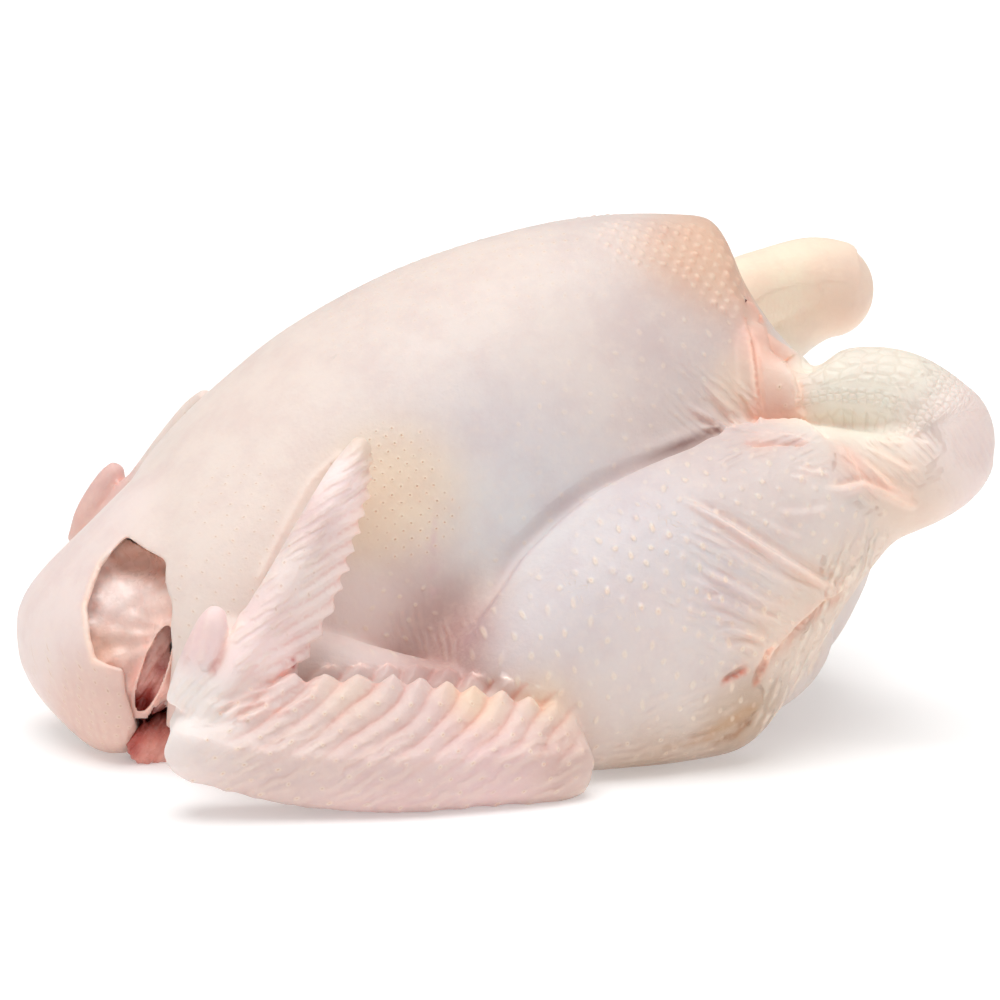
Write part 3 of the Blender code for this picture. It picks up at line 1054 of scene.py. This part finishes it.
def neck_cutter(tree):
    """A cutter for the torn opening: thin at the skin's edge and wider behind it."""
    rim = opening_points(tree)
    middle = sum(rim) / len(rim)
    away = -np.array(VIEW.back)
    rings = []
    for depth, outward in NECK_CUTTER_RINGS:
        ring = []
        for point, pixel in zip(rim, NECK_OPENING):
            widened = 1 + outward * (smoothstep(*CUTTER_FADE, pixel[1]) if outward > 0 else 1)
            ring.append(Vector(middle + (point - middle) * widened + away * depth))
        rings.append(ring)
    return loft("neck_cutter", rings)


def membrane_depth(px, py):
    """How far the membrane lies behind the torn edge, in mm, and how far out of its hole a pixel is."""

    def bump(x, y, rx, ry):
        return np.exp(-(((px - x) / rx) ** 2) - ((py - y) / ry) ** 2)

    depth = 4.6 + 6.5 * bump(140, 566, 24, 15) - 1.5 * bump(114, 604, 16, 20)
    depth += 10 * bump(150, 748, 60, 20)
    fan = np.arctan2(py - 628, 176 - px)
    reach = np.hypot(px - 176, py - 628)
    depth += 0.5 * np.sin(fan * 15 + 0.05 * reach) * smoothstep(8, 40, reach) * smoothstep(590, 640, py)
    depth += 0.35 * np.sin(px * 0.21 + py * 0.09) * np.sin(py * 0.17 - px * 0.05)
    (x, y), (rx, ry), tilt = LENS_HOLE
    c, s = math.cos(math.radians(tilt)), math.sin(math.radians(tilt))
    u, v = (px - x) * c + (py - y) * s, (py - y) * c - (px - x) * s
    lens = np.hypot(u / rx, v / ry)
    return depth - 1.6 * np.exp(-(((lens - 1.15) / 0.3) ** 2)), lens


def inside_outline(x, y, outline):
    """Whether a place lies inside a closed outline."""
    found = False
    for (ax, ay), (bx, by) in zip(outline, outline[1:] + outline[:1]):
        if (ay > y) != (by > y) and x < ax + (y - ay) * (bx - ax) / (by - ay):
            found = not found
    return found


def rim_depths(tree):
    """The opening's outline as pixels, and how deep its skin lies at each."""
    return np.array(NECK_OPENING, float), np.array([point[1] for point in opening_points(tree)])


def depth_between(pixels, depths, px, py):
    """The depth at a pixel, blended from those round the opening."""
    weight = 1 / ((pixels[:, 0] - px) ** 2 + (pixels[:, 1] - py) ** 2 + 9)
    return (weight * depths).sum() / weight.sum()


def make_membrane(tree):
    """The thin membrane that lines the torn neck, with a lens-shaped hole in it."""
    pixels, depths = rim_depths(tree)
    middle = pixels.mean(0)
    wide = []
    for pixel in pixels:
        margin = MEMBRANE_MARGIN * smoothstep(*MEMBRANE_FADE, pixel[1])
        wide.append(tuple(middle + (pixel - middle) * (1 + margin)))
    bm = bmesh.new()
    grid = {}
    for i, px in enumerate(np.arange(*MEMBRANE_COLUMNS, MEMBRANE_STEP)):
        for j, py in enumerate(np.arange(*MEMBRANE_ROWS, MEMBRANE_STEP)):
            depth, lens = membrane_depth(px, py)
            held = lens > 1 and (py < MEMBRANE_FOOT or lens < LENS_RIM)
            if held and inside_outline(px, py, wide):
                y = depth_between(pixels, depths, px, py)
                point = VIEW.at_depth((px, py), y) + VIEW.direction((px, py)) * depth
                grid[i, j] = bm.verts.new(point)
    for i, j in grid:
        corners = [grid.get(key) for key in ((i, j), (i, j + 1), (i + 1, j + 1), (i + 1, j))]
        if all(corners):
            bm.faces.new(corners)
    loose = [vert for vert in bm.verts if not vert.link_faces]
    bmesh.ops.delete(bm, geom=loose, context="VERTS")
    obj = mesh_object("membrane", bm)
    soft = obj.modifiers.new("soft", "SMOOTH")
    soft.factor = RELAX_FACTOR
    soft.iterations = 4
    thick = obj.modifiers.new("thick", "SOLIDIFY")
    thick.thickness = MEMBRANE_THICKNESS
    return applied(obj)


# Lumps of flesh inside the neck: the pixel of each one's middle, its depth behind the edge and its radii
# in mm, and its turn in degrees
MEAT_LUMPS = [
    ((149, 656), 9.6, (4.6, 3.6, 12.5), 22),
    ((165, 684), 10.6, (3.2, 3, 8.5), 24),
    ((144, 746), 6, (4.5, 3, 5.0), -24),
    ((155, 742), 7, (4.5, 3, 6), -24),
    ((165, 738), 8, (4, 3, 7.5), -12),
    ((150, 712), 15.5, (9, 3, 8.5), 0),
    ((142, 703), 9.5, (3.2, 2.4, 4.6), 24),
]
MEAT_VOXEL = 0.6
MEAT_RELAX_STEPS = 4
# The meat's colours: a pixel, a radius in mm and the colour
MEAT_PATCHES = [
    ((148, 655), 5, rgb(238, 190, 180)), ((156, 640), 4, rgb(244, 204, 194)),
    ((142, 680), 3, rgb(232, 172, 160)), ((166, 690), 3, rgb(236, 176, 164)),
    ((160, 668), 1.6, rgb(170, 40, 34)), ((150, 692), 1.6, rgb(170, 40, 34)),
    # The near-black red at (150, 722) is painted shade in the gap under the membrane's foot, over dark red
    # flesh
    ((150, 722), 4, rgb(96, 30, 26)), ((140, 736), 3, rgb(190, 70, 60)),
    ((148, 748), 4, rgb(232, 160, 146)), ((160, 752), 4, rgb(240, 184, 170)),
    ((158, 734), 3, rgb(216, 126, 112)), ((135, 750), 2, rgb(170, 44, 38)),
    ((141, 703), 2.4, rgb(158, 54, 46)),
]
# A small clot on the edge of the vent skin: its pixel and its radii in mm
CLOT = ((744, 300), (0.7, 0.7, 1.3))


def make_meat(flesh, tree):
    """The wet flesh that shows through the hole and under the membrane, with a clot beside the vent."""
    pixels, depths = rim_depths(flesh)
    lumps = []
    for pixel, behind, radii, turn in MEAT_LUMPS:
        y = depth_between(pixels, depths, *pixel)
        place = VIEW.at_depth(pixel, y) + VIEW.direction(pixel) * behind
        lump = ball("lump", (0, 0, 0), radii)
        lump.data.transform(Matrix.Translation(place) @ Matrix.Rotation(math.radians(turn), 4, "Y"))
        lumps.append(lump)
    lumps.append(ball("clot", VIEW.on(tree, CLOT[0]), CLOT[1]))
    obj = fused("meat", lumps, MEAT_VOXEL, MEAT_RELAX_STEPS)
    meat = Skin(obj)
    slant = meat.points[:, 0] - 0.8 * meat.points[:, 2]
    meat.push(0.22 * np.sin(slant * 2.6 + 1.2 * wavy(meat.points, 8)) + 0.2 * wavy(meat.points, 5, 2))
    meat.points[:, 2] = np.maximum(meat.points[:, 2], FLOOR)
    meat.write_points()
    tree = meat.tree()
    patches = [(VIEW.on(tree, pixel), radius, tone, 1) for pixel, radius, tone in MEAT_PATCHES]
    write_attribute(obj.data, "tint", "FLOAT_COLOR", blended(meat.points, patches, rgb(120, 26, 24)))
    return obj


# Colour

MILK = rgb(255, 250, 246)
CREAM = rgb(239, 222, 212)
PALE = rgb(229, 214, 207)
LILAC = rgb(217, 207, 208)
ASH = rgb(229, 226, 226)
THISTLE = rgb(214, 197, 193)
# A dark mauve, used as painted shade in the pocket under the wing
MAUVE_SHADE = rgb(184, 140, 132)
ROSE = rgb(229, 195, 193)
SALMON = rgb(223, 198, 191)
PINK = rgb(243, 224, 218)
BLUSH = rgb(238, 192, 173)
APRICOT = rgb(255, 226, 183)
PEACH = rgb(236, 211, 193)
STRAW = rgb(238, 213, 188)
TAN = rgb(196, 168, 145)
SHELL = rgb(245, 237, 221)
# HUSK and PETAL go past white: painted light that brightens the far shank and two patches by the hand beyond
# what skin reflects
HUSK = rgb(264, 238, 212)
PETAL = rgb(263, 239, 236)
DUSK = rgb(201, 159, 152)
TAWNY = rgb(224, 184, 158)

# Where each colour lies: a pixel of the photograph, the patch's radius in mm, the colour and its weight
PATCHES = [
    ((300, 330), 25, CREAM, 1), ((450, 270), 25, CREAM, 1), ((600, 228), 16, PALE, 1),
    ((690, 255), 13, TAWNY, 1.8), ((420, 340), 22, PALE, 1), ((560, 330), 22, PALE, 1),
    ((660, 330), 16, THISTLE, 1), ((230, 430), 22, CREAM, 1), ((200, 530), 18, CREAM, 1),
    ((410, 490), 12, STRAW, 2.4), ((500, 430), 18, LILAC, 1), ((500, 520), 18, ASH, 1),
    # The mauve patch at (450, 640) is painted shade in the pocket between the forearm and the flank, over a
    # purplish skin tone
    ((450, 640), 12, MAUVE_SHADE, 1.6), ((380, 640), 12, PINK, 1.2), ((740, 470), 14, THISTLE, 1),
    ((640, 560), 20, LILAC, 1), ((560, 620), 20, LILAC, 1), ((640, 690), 20, PALE, 1),
    # The tan patch at (650, 755) is painted shade on the thigh's underside near the floor; the tan at (735,
    # 720) is a brown stain
    ((560, 720), 12, PEACH, 1), ((650, 755), 10, TAN, 1.2), ((830, 600), 12, PEACH, 1.5),
    ((735, 720), 9, TAN, 1.6), ((800, 510), 16, PALE, 1), ((960, 440), 12, PINK, 1.2),
    ((910, 490), 10, PEACH, 1.2), ((870, 390), 14, SHELL, 1.5), ((820, 390), 8, SHELL, 1.5),
    ((290, 560), 12, PINK, 1.3), ((310, 525), 6, ROSE, 0.9), ((265, 620), 7, ROSE, 0.7),
    ((345, 490), 6, PETAL, 1.2), ((250, 640), 9, PETAL, 1.0), ((210, 720), 10, MILK, 0.8),
    ((250, 740), 14, SALMON, 1.2), ((370, 730), 14, SALMON, 1.2), ((500, 730), 14, ROSE, 0.8),
    ((565, 745), 8, DUSK, 1.2), ((380, 790), 10, ROSE, 0.6), ((350, 700), 6, PEACH, 1.0),
    # The apricot patches at (480, 700) and (545, 705) brighten the forearm's pleat crests: partly their
    # orange-cream tone, partly a painted highlight
    ((480, 700), 7, APRICOT, 0.8), ((545, 705), 6, APRICOT, 1.0), ((50, 620), 14, PINK, 1),
    ((90, 700), 12, SALMON, 0.4), ((88, 705), 12, BLUSH, 0.45), ((122, 508), 9, PINK, 1.0),
    ((785, 400), 6, BLUSH, 1.4), ((770, 345), 6, BLUSH, 1.4), ((752, 310), 4, BLUSH, 1.2),
    ((735, 380), 6, PEACH, 0.8), ((210, 640), 6, ROSE, 0.7), ((770, 640), 7, PEACH, 0.7),
    ((650, 620), 10, PINK, 0.6), ((490, 590), 8, STRAW, 0.3), ((430, 560), 7, SALMON, 0.5),
    ((760, 445), 4, BLUSH, 0.5), ((850, 460), 5, BLUSH, 0.5),
]
# HUSK here is painted light on the shaded far shank
FAR_PATCHES = [
    ((820, 290), 14, HUSK, 1.2), ((840, 300), 8, BLUSH, 0.6), ((770, 280), 10, HUSK, 1.2),
    ((95, 500), 10, BLUSH, 1.0), ((98, 492), 10, ROSE, 1.0), ((850, 280), 8, PEACH, 1.0),
]
GROUND_WEIGHT = 0.02
# The share of its length that a streak fades over at each end
STREAK_FADE = (0.15, 0.25)


def painted(skin, tree):
    """The colour of each point, blended between the patches and then crossed by the streaks."""
    patches = []
    for pixel, radius, tone, weight in PATCHES:
        place = VIEW.on(tree, pixel)
        patches.append((place, radius, tone, weight))
        if abs(place[1]) > radius * 0.5:
            patches.append((place * np.array([1, -1, 1]), radius, tone, weight))
    for pixel, radius, tone, weight in FAR_PATCHES:
        patches.append((VIEW.on(tree, pixel), radius, tone, weight))
    colour = blended(skin.points, patches, PALE)
    for pixels, width, tone, strength in STREAKS:
        for line in both_sides(tree, pixels):
            index, distance, place, _ = along_line(skin, line, width * 3)
            share = strength * np.exp(-((distance / width) ** 2)) * ends_fade(place, *STREAK_FADE)
            colour[index] += share[:, None] * (tone - colour[index])
    return colour


# The membrane's colours: a pixel, a radius in mm and the colour
MEMBRANE_PATCHES = [
    ((112, 602), 7, rgb(247, 226, 220)), ((128, 590), 6, rgb(246, 224, 216)),
    # The brown patches at (140, 562) and (160, 575) are painted shadow under the torn skin's upper edge
    ((140, 562), 7, rgb(206, 160, 142)), ((160, 575), 4, rgb(186, 130, 112)),
    ((108, 645), 5, rgb(228, 186, 166)), ((140, 630), 7, rgb(240, 208, 196)),
    ((165, 610), 5, rgb(240, 210, 198)), ((128, 680), 5, rgb(240, 206, 196)),
    ((130, 690), 6, rgb(238, 200, 188)),
]


def blended(points, patches, ground):
    """The colour of each point, blended from patches of a place, a radius, a colour and a weight."""
    total = np.full(len(points), GROUND_WEIGHT)
    colour = np.outer(total, ground)
    for place, radius, tone, weight in patches:
        near = weight * np.exp(-(((points - place) ** 2).sum(1)) / (radius * radius))
        total += near
        colour += near[:, None] * tone
    return colour / total[:, None]


def paint_membrane(obj):
    sheet = Skin(obj)
    tree = sheet.tree()
    patches = [(VIEW.on(tree, pixel), radius, tone, 1) for pixel, radius, tone in MEMBRANE_PATCHES]
    write_attribute(obj.data, "tint", "FLOAT_COLOR", blended(sheet.points, patches, rgb(240, 210, 198)))


# Lines of colour: pixels, width in mm, colour, strength. Some are painted shade in creases and under edges.
STREAKS = [
    # Painted shade: a dark line down the upper end of the crease between the leg and the breast
    ([(730, 424), (700, 437), (666, 451), (634, 465)], 1.7, rgb(128, 88, 80), 0.85),
    # Painted shade: a greyish band along the lower part of the same crease
    (CREASE[3:], 2.4, rgb(186, 158, 164), 0.45),
    # Pink along the groove under the leg's lip, partly the skin's tone and partly painted shade
    (LIP_GROOVE, 0.8, rgb(224, 174, 162), 0.6),
    (SLITS[0], 0.8, rgb(214, 120, 96), 0.9),
    (SLITS[1], 0.8, rgb(204, 134, 110), 0.7),
    ([(228, 638), (219, 660), (207, 678)], 1.0, rgb(196, 96, 88), 0.95),
    (BREAST_REAR_EDGE, 0.6, rgb(214, 156, 134), 0.6),
    # A darker tan line in the groove just under the leg's top ridge: painted shade under the fold
    ([(683, 505), (717, 523), (756, 547), (798, 572), (821, 587)], 0.6, rgb(226, 176, 142), 0.7),
    ([(672, 491), (717, 517), (756, 541), (798, 566), (821, 580)], 0.7, rgb(248, 230, 214), 0.8),
    ([(820, 488), (863, 484), (897, 496), (919, 507)], 0.8, rgb(250, 228, 212), 0.8),
    ([(846, 452), (860, 472), (885, 488), (905, 496)], 1.6, rgb(240, 200, 186), 0.4),
    ([(291, 657), (293, 663), (292, 669)], 0.8, rgb(186, 30, 34), 0.95),
    (WEB_EDGE, 0.8, rgb(246, 216, 190), 0.6),
    # Painted shade: a darker orange-pink band on the rump side just below the web's raised edge
    ([(849, 588), (834, 602), (822, 609), (810, 620), (796, 632), (783, 648), (774, 662)], 1.5,
     rgb(220, 162, 138), 0.6),
    ([(438, 505), (430, 560), (434, 620)], 0.7, rgb(224, 184, 190), 0.5),
    ([(712, 746), (724, 738), (737, 732)], 0.8, rgb(156, 102, 62), 0.6),
    ([(738, 726), (750, 719)], 1.0, rgb(150, 98, 60), 0.5),
    ([(690, 736), (706, 733)], 0.8, rgb(166, 114, 76), 0.5),
    ([(660, 748), (680, 745), (700, 744)], 0.8, rgb(176, 130, 92), 0.4),
    (HAND_RIM, 1.5, rgb(250, 232, 220), 0.7),
    (TORN_EDGE, 0.9, rgb(248, 226, 204), 0.8),
    ([(700, 735), (725, 725), (745, 712), (765, 705)], 2.0, rgb(192, 142, 96), 0.55),
    ([(728, 742), (742, 728), (758, 716)], 1.4, rgb(166, 108, 64), 0.6),
    ([(690, 742), (715, 738)], 1.2, rgb(190, 138, 94), 0.4),
]


ATTRIBUTE_FIELDS = {"FLOAT_COLOR": "color", "FLOAT_VECTOR": "vector", "FLOAT": "value"}


def write_attribute(mesh, name, kind, values):
    """Stores a value for each point, which the material reads by its name."""
    if kind == "FLOAT_COLOR":
        values = np.hstack([values, np.ones((len(values), 1))])
    attribute = mesh.attributes.new(name, kind, "POINT")
    attribute.data.foreach_set(ATTRIBUTE_FIELDS[kind], values.astype(np.float32).ravel())


# Materials

# How far red, green and blue light sink into flesh, as shares of its depth in metres, and its shine
SINK_TINT = (1.0, 0.42, 0.3)
SKIN_DEPTH = 0.0026
SKIN_SHINE = 0.38
WET_DEPTH = 0.002
WET_SHINE = 0.5


class Nodes:
    """Short ways to build a material's node tree."""

    def __init__(self, name):
        self.material = bpy.data.materials.new(name)
        self.material.use_nodes = True
        self.tree = self.material.node_tree
        self.shader = self.tree.nodes["Principled BSDF"]

    def new(self, kind, **settings):
        node = self.tree.nodes.new(kind)
        for key, value in settings.items():
            setattr(node, key, value)
        return node

    def link(self, source, target):
        self.tree.links.new(source, target)

    def fill(self, socket, value):
        if isinstance(value, bpy.types.NodeSocket):
            self.link(value, socket)
        else:
            socket.default_value = value

    def attribute(self, name, output="Vector"):
        """A value that the mesh stores for each point."""
        return self.new("ShaderNodeAttribute", attribute_name=name).outputs[output]

    def parts(self, name):
        """The three parts of a stored vector."""
        node = self.new("ShaderNodeSeparateXYZ")
        self.link(self.attribute(name), node.inputs[0])
        return node.outputs

    def math(self, operation, *values):
        node = self.new("ShaderNodeMath", operation=operation)
        for socket, value in zip(node.inputs, values):
            self.fill(socket, value)
        return node.outputs[0]

    def times(self, *values):
        return self.math("MULTIPLY", *values)

    def ramp(self, value, low, high, to_low=0.0, to_high=1.0):
        """The value from low to high as a smooth step between two results."""
        node = self.new("ShaderNodeMapRange", interpolation_type="SMOOTHSTEP")
        for socket, item in zip(node.inputs, (value, low, high, to_low, to_high)):
            self.fill(socket, item)
        return node.outputs[0]

    def noise(self, vector, scale, detail=3.0, roughness=0.5):
        node = self.new("ShaderNodeTexNoise")
        self.link(vector, node.inputs["Vector"])
        node.inputs["Scale"].default_value = scale
        node.inputs["Detail"].default_value = detail
        node.inputs["Roughness"].default_value = roughness
        return node.outputs["Fac"]

    def mix(self, share, first, second, blend="MIX"):
        node = self.new("ShaderNodeMix", data_type="RGBA", blend_type=blend)
        self.fill(node.inputs["Factor"], share)
        self.fill(node.inputs[6], first if isinstance(first, bpy.types.NodeSocket) else (*first, 1))
        self.fill(node.inputs[7], second if isinstance(second, bpy.types.NodeSocket) else (*second, 1))
        return node.outputs[2]

    def bump(self, height, distance):
        node = self.new("ShaderNodeBump")
        node.inputs["Distance"].default_value = distance
        self.link(height, node.inputs["Height"])
        self.link(node.outputs[0], self.shader.inputs["Normal"])

    def finish(self, colour, roughness):
        """What every flesh has: its colour, its roughness, and light that sinks in and comes out tinted."""
        self.link(colour, self.shader.inputs["Base Color"])
        self.link(roughness, self.shader.inputs["Roughness"])
        self.shader.subsurface_method = "BURLEY"
        self.shader.inputs["Subsurface Weight"].default_value = 1.0
        self.shader.inputs["Subsurface Radius"].default_value = SINK_TINT

    def place(self):
        return self.new("ShaderNodeTexCoord").outputs["Object"]

    def lattice(self, attribute, jitter, feature="F1"):
        """Cells on a stored flat place: the distance in them, how strong they are, and a number for each."""
        u, v, strength = self.parts(attribute)
        flat = self.new("ShaderNodeCombineXYZ")
        self.link(u, flat.inputs[0])
        self.link(v, flat.inputs[1])
        cells = self.new("ShaderNodeTexVoronoi", voronoi_dimensions="2D", feature=feature)
        self.link(flat.outputs[0], cells.inputs["Vector"])
        cells.inputs["Scale"].default_value = 1.0
        cells.inputs["Randomness"].default_value = jitter
        luck = self.new("ShaderNodeSeparateColor")
        if feature == "F1":
            self.link(cells.outputs["Color"], luck.inputs[0])
        return cells.outputs["Distance"], strength, luck.outputs[0]


def skin_material():
    """Thin moist skin: tints, mottling, cream follicles with dark pores, the shank's scales, creases, and
    painted shade in the wing's grooves.
    """
    n = Nodes("skin")
    place = n.place()
    tint = n.attribute("tint", "Color")
    blotch = n.ramp(n.noise(place, 75, 4, 0.6), 0.4, 0.7)
    colour = n.mix(n.times(blotch, 0.2), tint, rgb(226, 204, 210), "MULTIPLY")
    fleck = n.ramp(n.noise(place, 330, 3, 0.6), 0.45, 0.75)
    colour = n.mix(n.times(fleck, 0.14), colour, rgb(246, 226, 208))

    groove, pale, pore = n.parts("marks")
    dot, strength, luck = n.lattice("dots", 0.0)
    dot = n.times(dot, n.attribute("pitch", "Fac"))
    strength = n.times(strength, n.ramp(luck, 0.0, 0.7, 0.45, 1.0))
    # Pink in the wing's pleat grooves, partly the skin's tone and partly painted shade
    colour = n.mix(n.times(groove, 0.5), colour, rgb(232, 176, 168), "MULTIPLY")
    crown = n.times(n.times(n.ramp(dot, 0.98, 0.25), strength), pale)
    pit = n.times(n.times(n.ramp(dot, 0.36, 0.16), strength), pore)
    colour = n.mix(n.times(crown, 0.62), colour, rgb(248, 230, 208))
    colour = n.mix(n.times(pit, 0.7), colour, rgb(200, 140, 108))

    edge, scaly, _ = n.lattice("scutes", 0.5, "DISTANCE_TO_EDGE")
    seam = n.times(n.ramp(edge, 0.14, 0.0), scaly)
    dome = n.times(n.ramp(edge, 0.0, 0.34), scaly)
    colour = n.mix(n.times(seam, 0.2), colour, rgb(206, 186, 160))

    stored_phase, rise, _ = n.parts("creases")
    phase = n.math("MULTIPLY_ADD", n.noise(place, 90, 3, 0.5), 1.8, stored_phase)
    broken = n.ramp(n.noise(place, 150, 2), 0.35, 0.62)
    crest = n.times(n.times(n.ramp(n.math("PINGPONG", phase, 0.5), 0.04, 0.4), rise), broken)
    colour = n.mix(n.times(crest, 0.5), colour, rgb(250, 230, 212))

    n.finish(colour, n.ramp(n.noise(place, 250, 2), 0.3, 0.7, 0.4, 0.55))
    n.shader.inputs["Subsurface Scale"].default_value = SKIN_DEPTH
    n.shader.inputs["Specular IOR Level"].default_value = SKIN_SHINE
    height = n.times(n.noise(place, 800, 3, 0.6), 0.00016)
    height = n.math("MULTIPLY_ADD", n.math("SUBTRACT", crown, n.times(pit, 1.2)), 0.00018, height)
    height = n.math("MULTIPLY_ADD", dome, 0.00022, height)
    height = n.math("MULTIPLY_ADD", crest, 0.0006, height)
    n.bump(height, 1.0)
    return n.material


def wet_material(name, streaks, share, shade, shine_size, smoothest, relief):
    """Wet flesh: blended tints under darker streaks."""
    n = Nodes(name)
    place = n.place()
    size, low, high = streaks
    streak = n.ramp(n.noise(place, size, 4), low, high)
    colour = n.mix(n.times(streak, share), n.attribute("tint", "Color"), shade, "MULTIPLY")
    n.finish(colour, n.ramp(n.noise(place, shine_size, 2), 0.3, 0.7, smoothest, 0.34))
    n.shader.inputs["Subsurface Scale"].default_value = WET_DEPTH
    n.shader.inputs["Specular IOR Level"].default_value = WET_SHINE
    n.bump(n.noise(place, *relief), 0.0004)
    return n.material


def add_relief(skin, tree):
    """Moves the skin into its folds, pleats and follicles."""
    move = skin.normals * add_folds(skin, tree)[:, None]
    follicles = Follicles(skin)
    for side in (NEAR, FAR):
        move += wing_relief(skin, follicles, side)[0]
    follicles.add_fields(tree)
    move += skin.normals * follicles.relief()[:, None]
    skin.points += move
    skin.points[:, 2] = np.maximum(skin.points[:, 2], FLOOR)
    skin.write_points()


def mark(skin, tree):
    """Writes what the skin's material reads at each point."""
    follicles = Follicles(skin)
    groove = np.zeros(skin.count)
    for side in (NEAR, FAR):
        groove = np.maximum(groove, wing_relief(skin, follicles, side)[1])
    follicles.add_fields(tree)
    strength = follicles.strength()
    mesh = skin.obj.data
    write_attribute(mesh, "dots", "FLOAT_VECTOR", np.column_stack([follicles.cells, strength]))
    write_attribute(mesh, "pitch", "FLOAT", follicles.pitch)
    marks = np.column_stack([groove, follicles.pale, follicles.pore])
    write_attribute(mesh, "marks", "FLOAT_VECTOR", marks)
    scutes = shank_scutes(skin, NEAR)
    far = shank_scutes(skin, FAR)
    scutes = np.where(far[:, 2:] > scutes[:, 2:], far, scutes)
    write_attribute(mesh, "scutes", "FLOAT_VECTOR", scutes)
    write_attribute(mesh, "creases", "FLOAT_VECTOR", crease_places(skin, tree))
    write_attribute(mesh, "tint", "FLOAT_COLOR", painted(skin, tree))


def make_skin():
    obj, flesh = bare_skin()
    skin = Skin(obj)
    tree = skin.tree()
    add_relief(skin, tree)
    thin = obj.modifiers.new("thin", "DECIMATE")
    thin.ratio = min(1, SKIN_TRIANGLES / (2 * len(obj.data.polygons)))
    applied(obj)
    mark(Skin(obj), tree)
    obj.data.materials.clear()
    obj.data.materials.append(skin_material())
    obj.data.shade_smooth()
    membrane = make_membrane(flesh)
    paint_membrane(membrane)
    meat = make_meat(flesh, tree)
    lining = wet_material("membrane", (140, 0.4, 0.7), 0.26, rgb(222, 176, 162), 300, 0.2, (420, 3))
    flesh_red = wet_material("red_meat", (260, 0.35, 0.65), 0.35, rgb(200, 120, 110), 400, 0.18, (600, 4))
    for piece, material in ((membrane, lining), (meat, flesh_red)):
        piece.data.materials.append(material)
        piece.data.shade_smooth()
    return {"skin": obj, "membrane": membrane, "meat": meat}


def to_frame(obj):
    """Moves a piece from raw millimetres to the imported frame, in metres."""
    obj.data.transform(Matrix.Scale(MM, 4) @ Matrix.Translation(-MIDDLE))
    obj.data.update()


FLOOR_GREY = (0.82, 0.82, 0.82, 1)
FLOOR_GLOW = 0.26
SURROUND_STRENGTH = 0.46
KEY_STRENGTH = 2.15
KEY_SPREAD = math.radians(50)
KEY_DIRECTION = Vector((0.1, 0.1, -1))


def make_stage():
    """A pale floor, a soft white surround and a wide soft key light from nearly straight above."""
    bpy.ops.mesh.primitive_circle_add(vertices=96, radius=9, fill_type="NGON")
    floor = bpy.context.object
    floor.name = "floor"
    n = Nodes("floor_white")
    n.shader.inputs["Base Color"].default_value = FLOOR_GREY
    n.shader.inputs["Roughness"].default_value = 0.75
    n.shader.inputs["Emission Color"].default_value = (1, 1, 1, 1)
    n.shader.inputs["Emission Strength"].default_value = FLOOR_GLOW
    floor.data.materials.append(n.material)
    world = bpy.data.worlds.new("surround")
    world.use_nodes = True
    background = world.node_tree.nodes["Background"]
    background.inputs["Color"].default_value = (1, 1, 1, 1)
    background.inputs["Strength"].default_value = SURROUND_STRENGTH
    bpy.context.scene.world = world
    sun = bpy.data.lights.new("key", "SUN")
    sun.energy = KEY_STRENGTH
    sun.angle = KEY_SPREAD
    lamp = bpy.data.objects.new("key", sun)
    lamp.rotation_euler = KEY_DIRECTION.to_track_quat("-Z", "Y").to_euler()
    bpy.context.scene.collection.objects.link(lamp)


def make_camera():
    camera = bpy.data.cameras.new("photo_camera")
    camera.sensor_width = SENSOR_MM
    camera.lens = FOCAL_PIXELS / IMAGE_PIXELS * SENSOR_MM
    camera.clip_end = 100
    obj = bpy.data.objects.new("photo_camera", camera)
    obj.matrix_world = Matrix.LocRotScale(
        (VIEW.place - MIDDLE) * MM, (-VIEW.back).to_track_quat("-Z", "Y"), None
    )
    bpy.context.scene.collection.objects.link(obj)
    bpy.context.scene.camera = obj


def main():
    pieces = make_skin()
    for slot, piece in pieces.items():
        to_frame(piece)
        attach(piece, "root")
    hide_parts("chicken")
    make_stage()
    make_camera()
    bpy.context.scene.view_settings.view_transform = "Standard"


main()
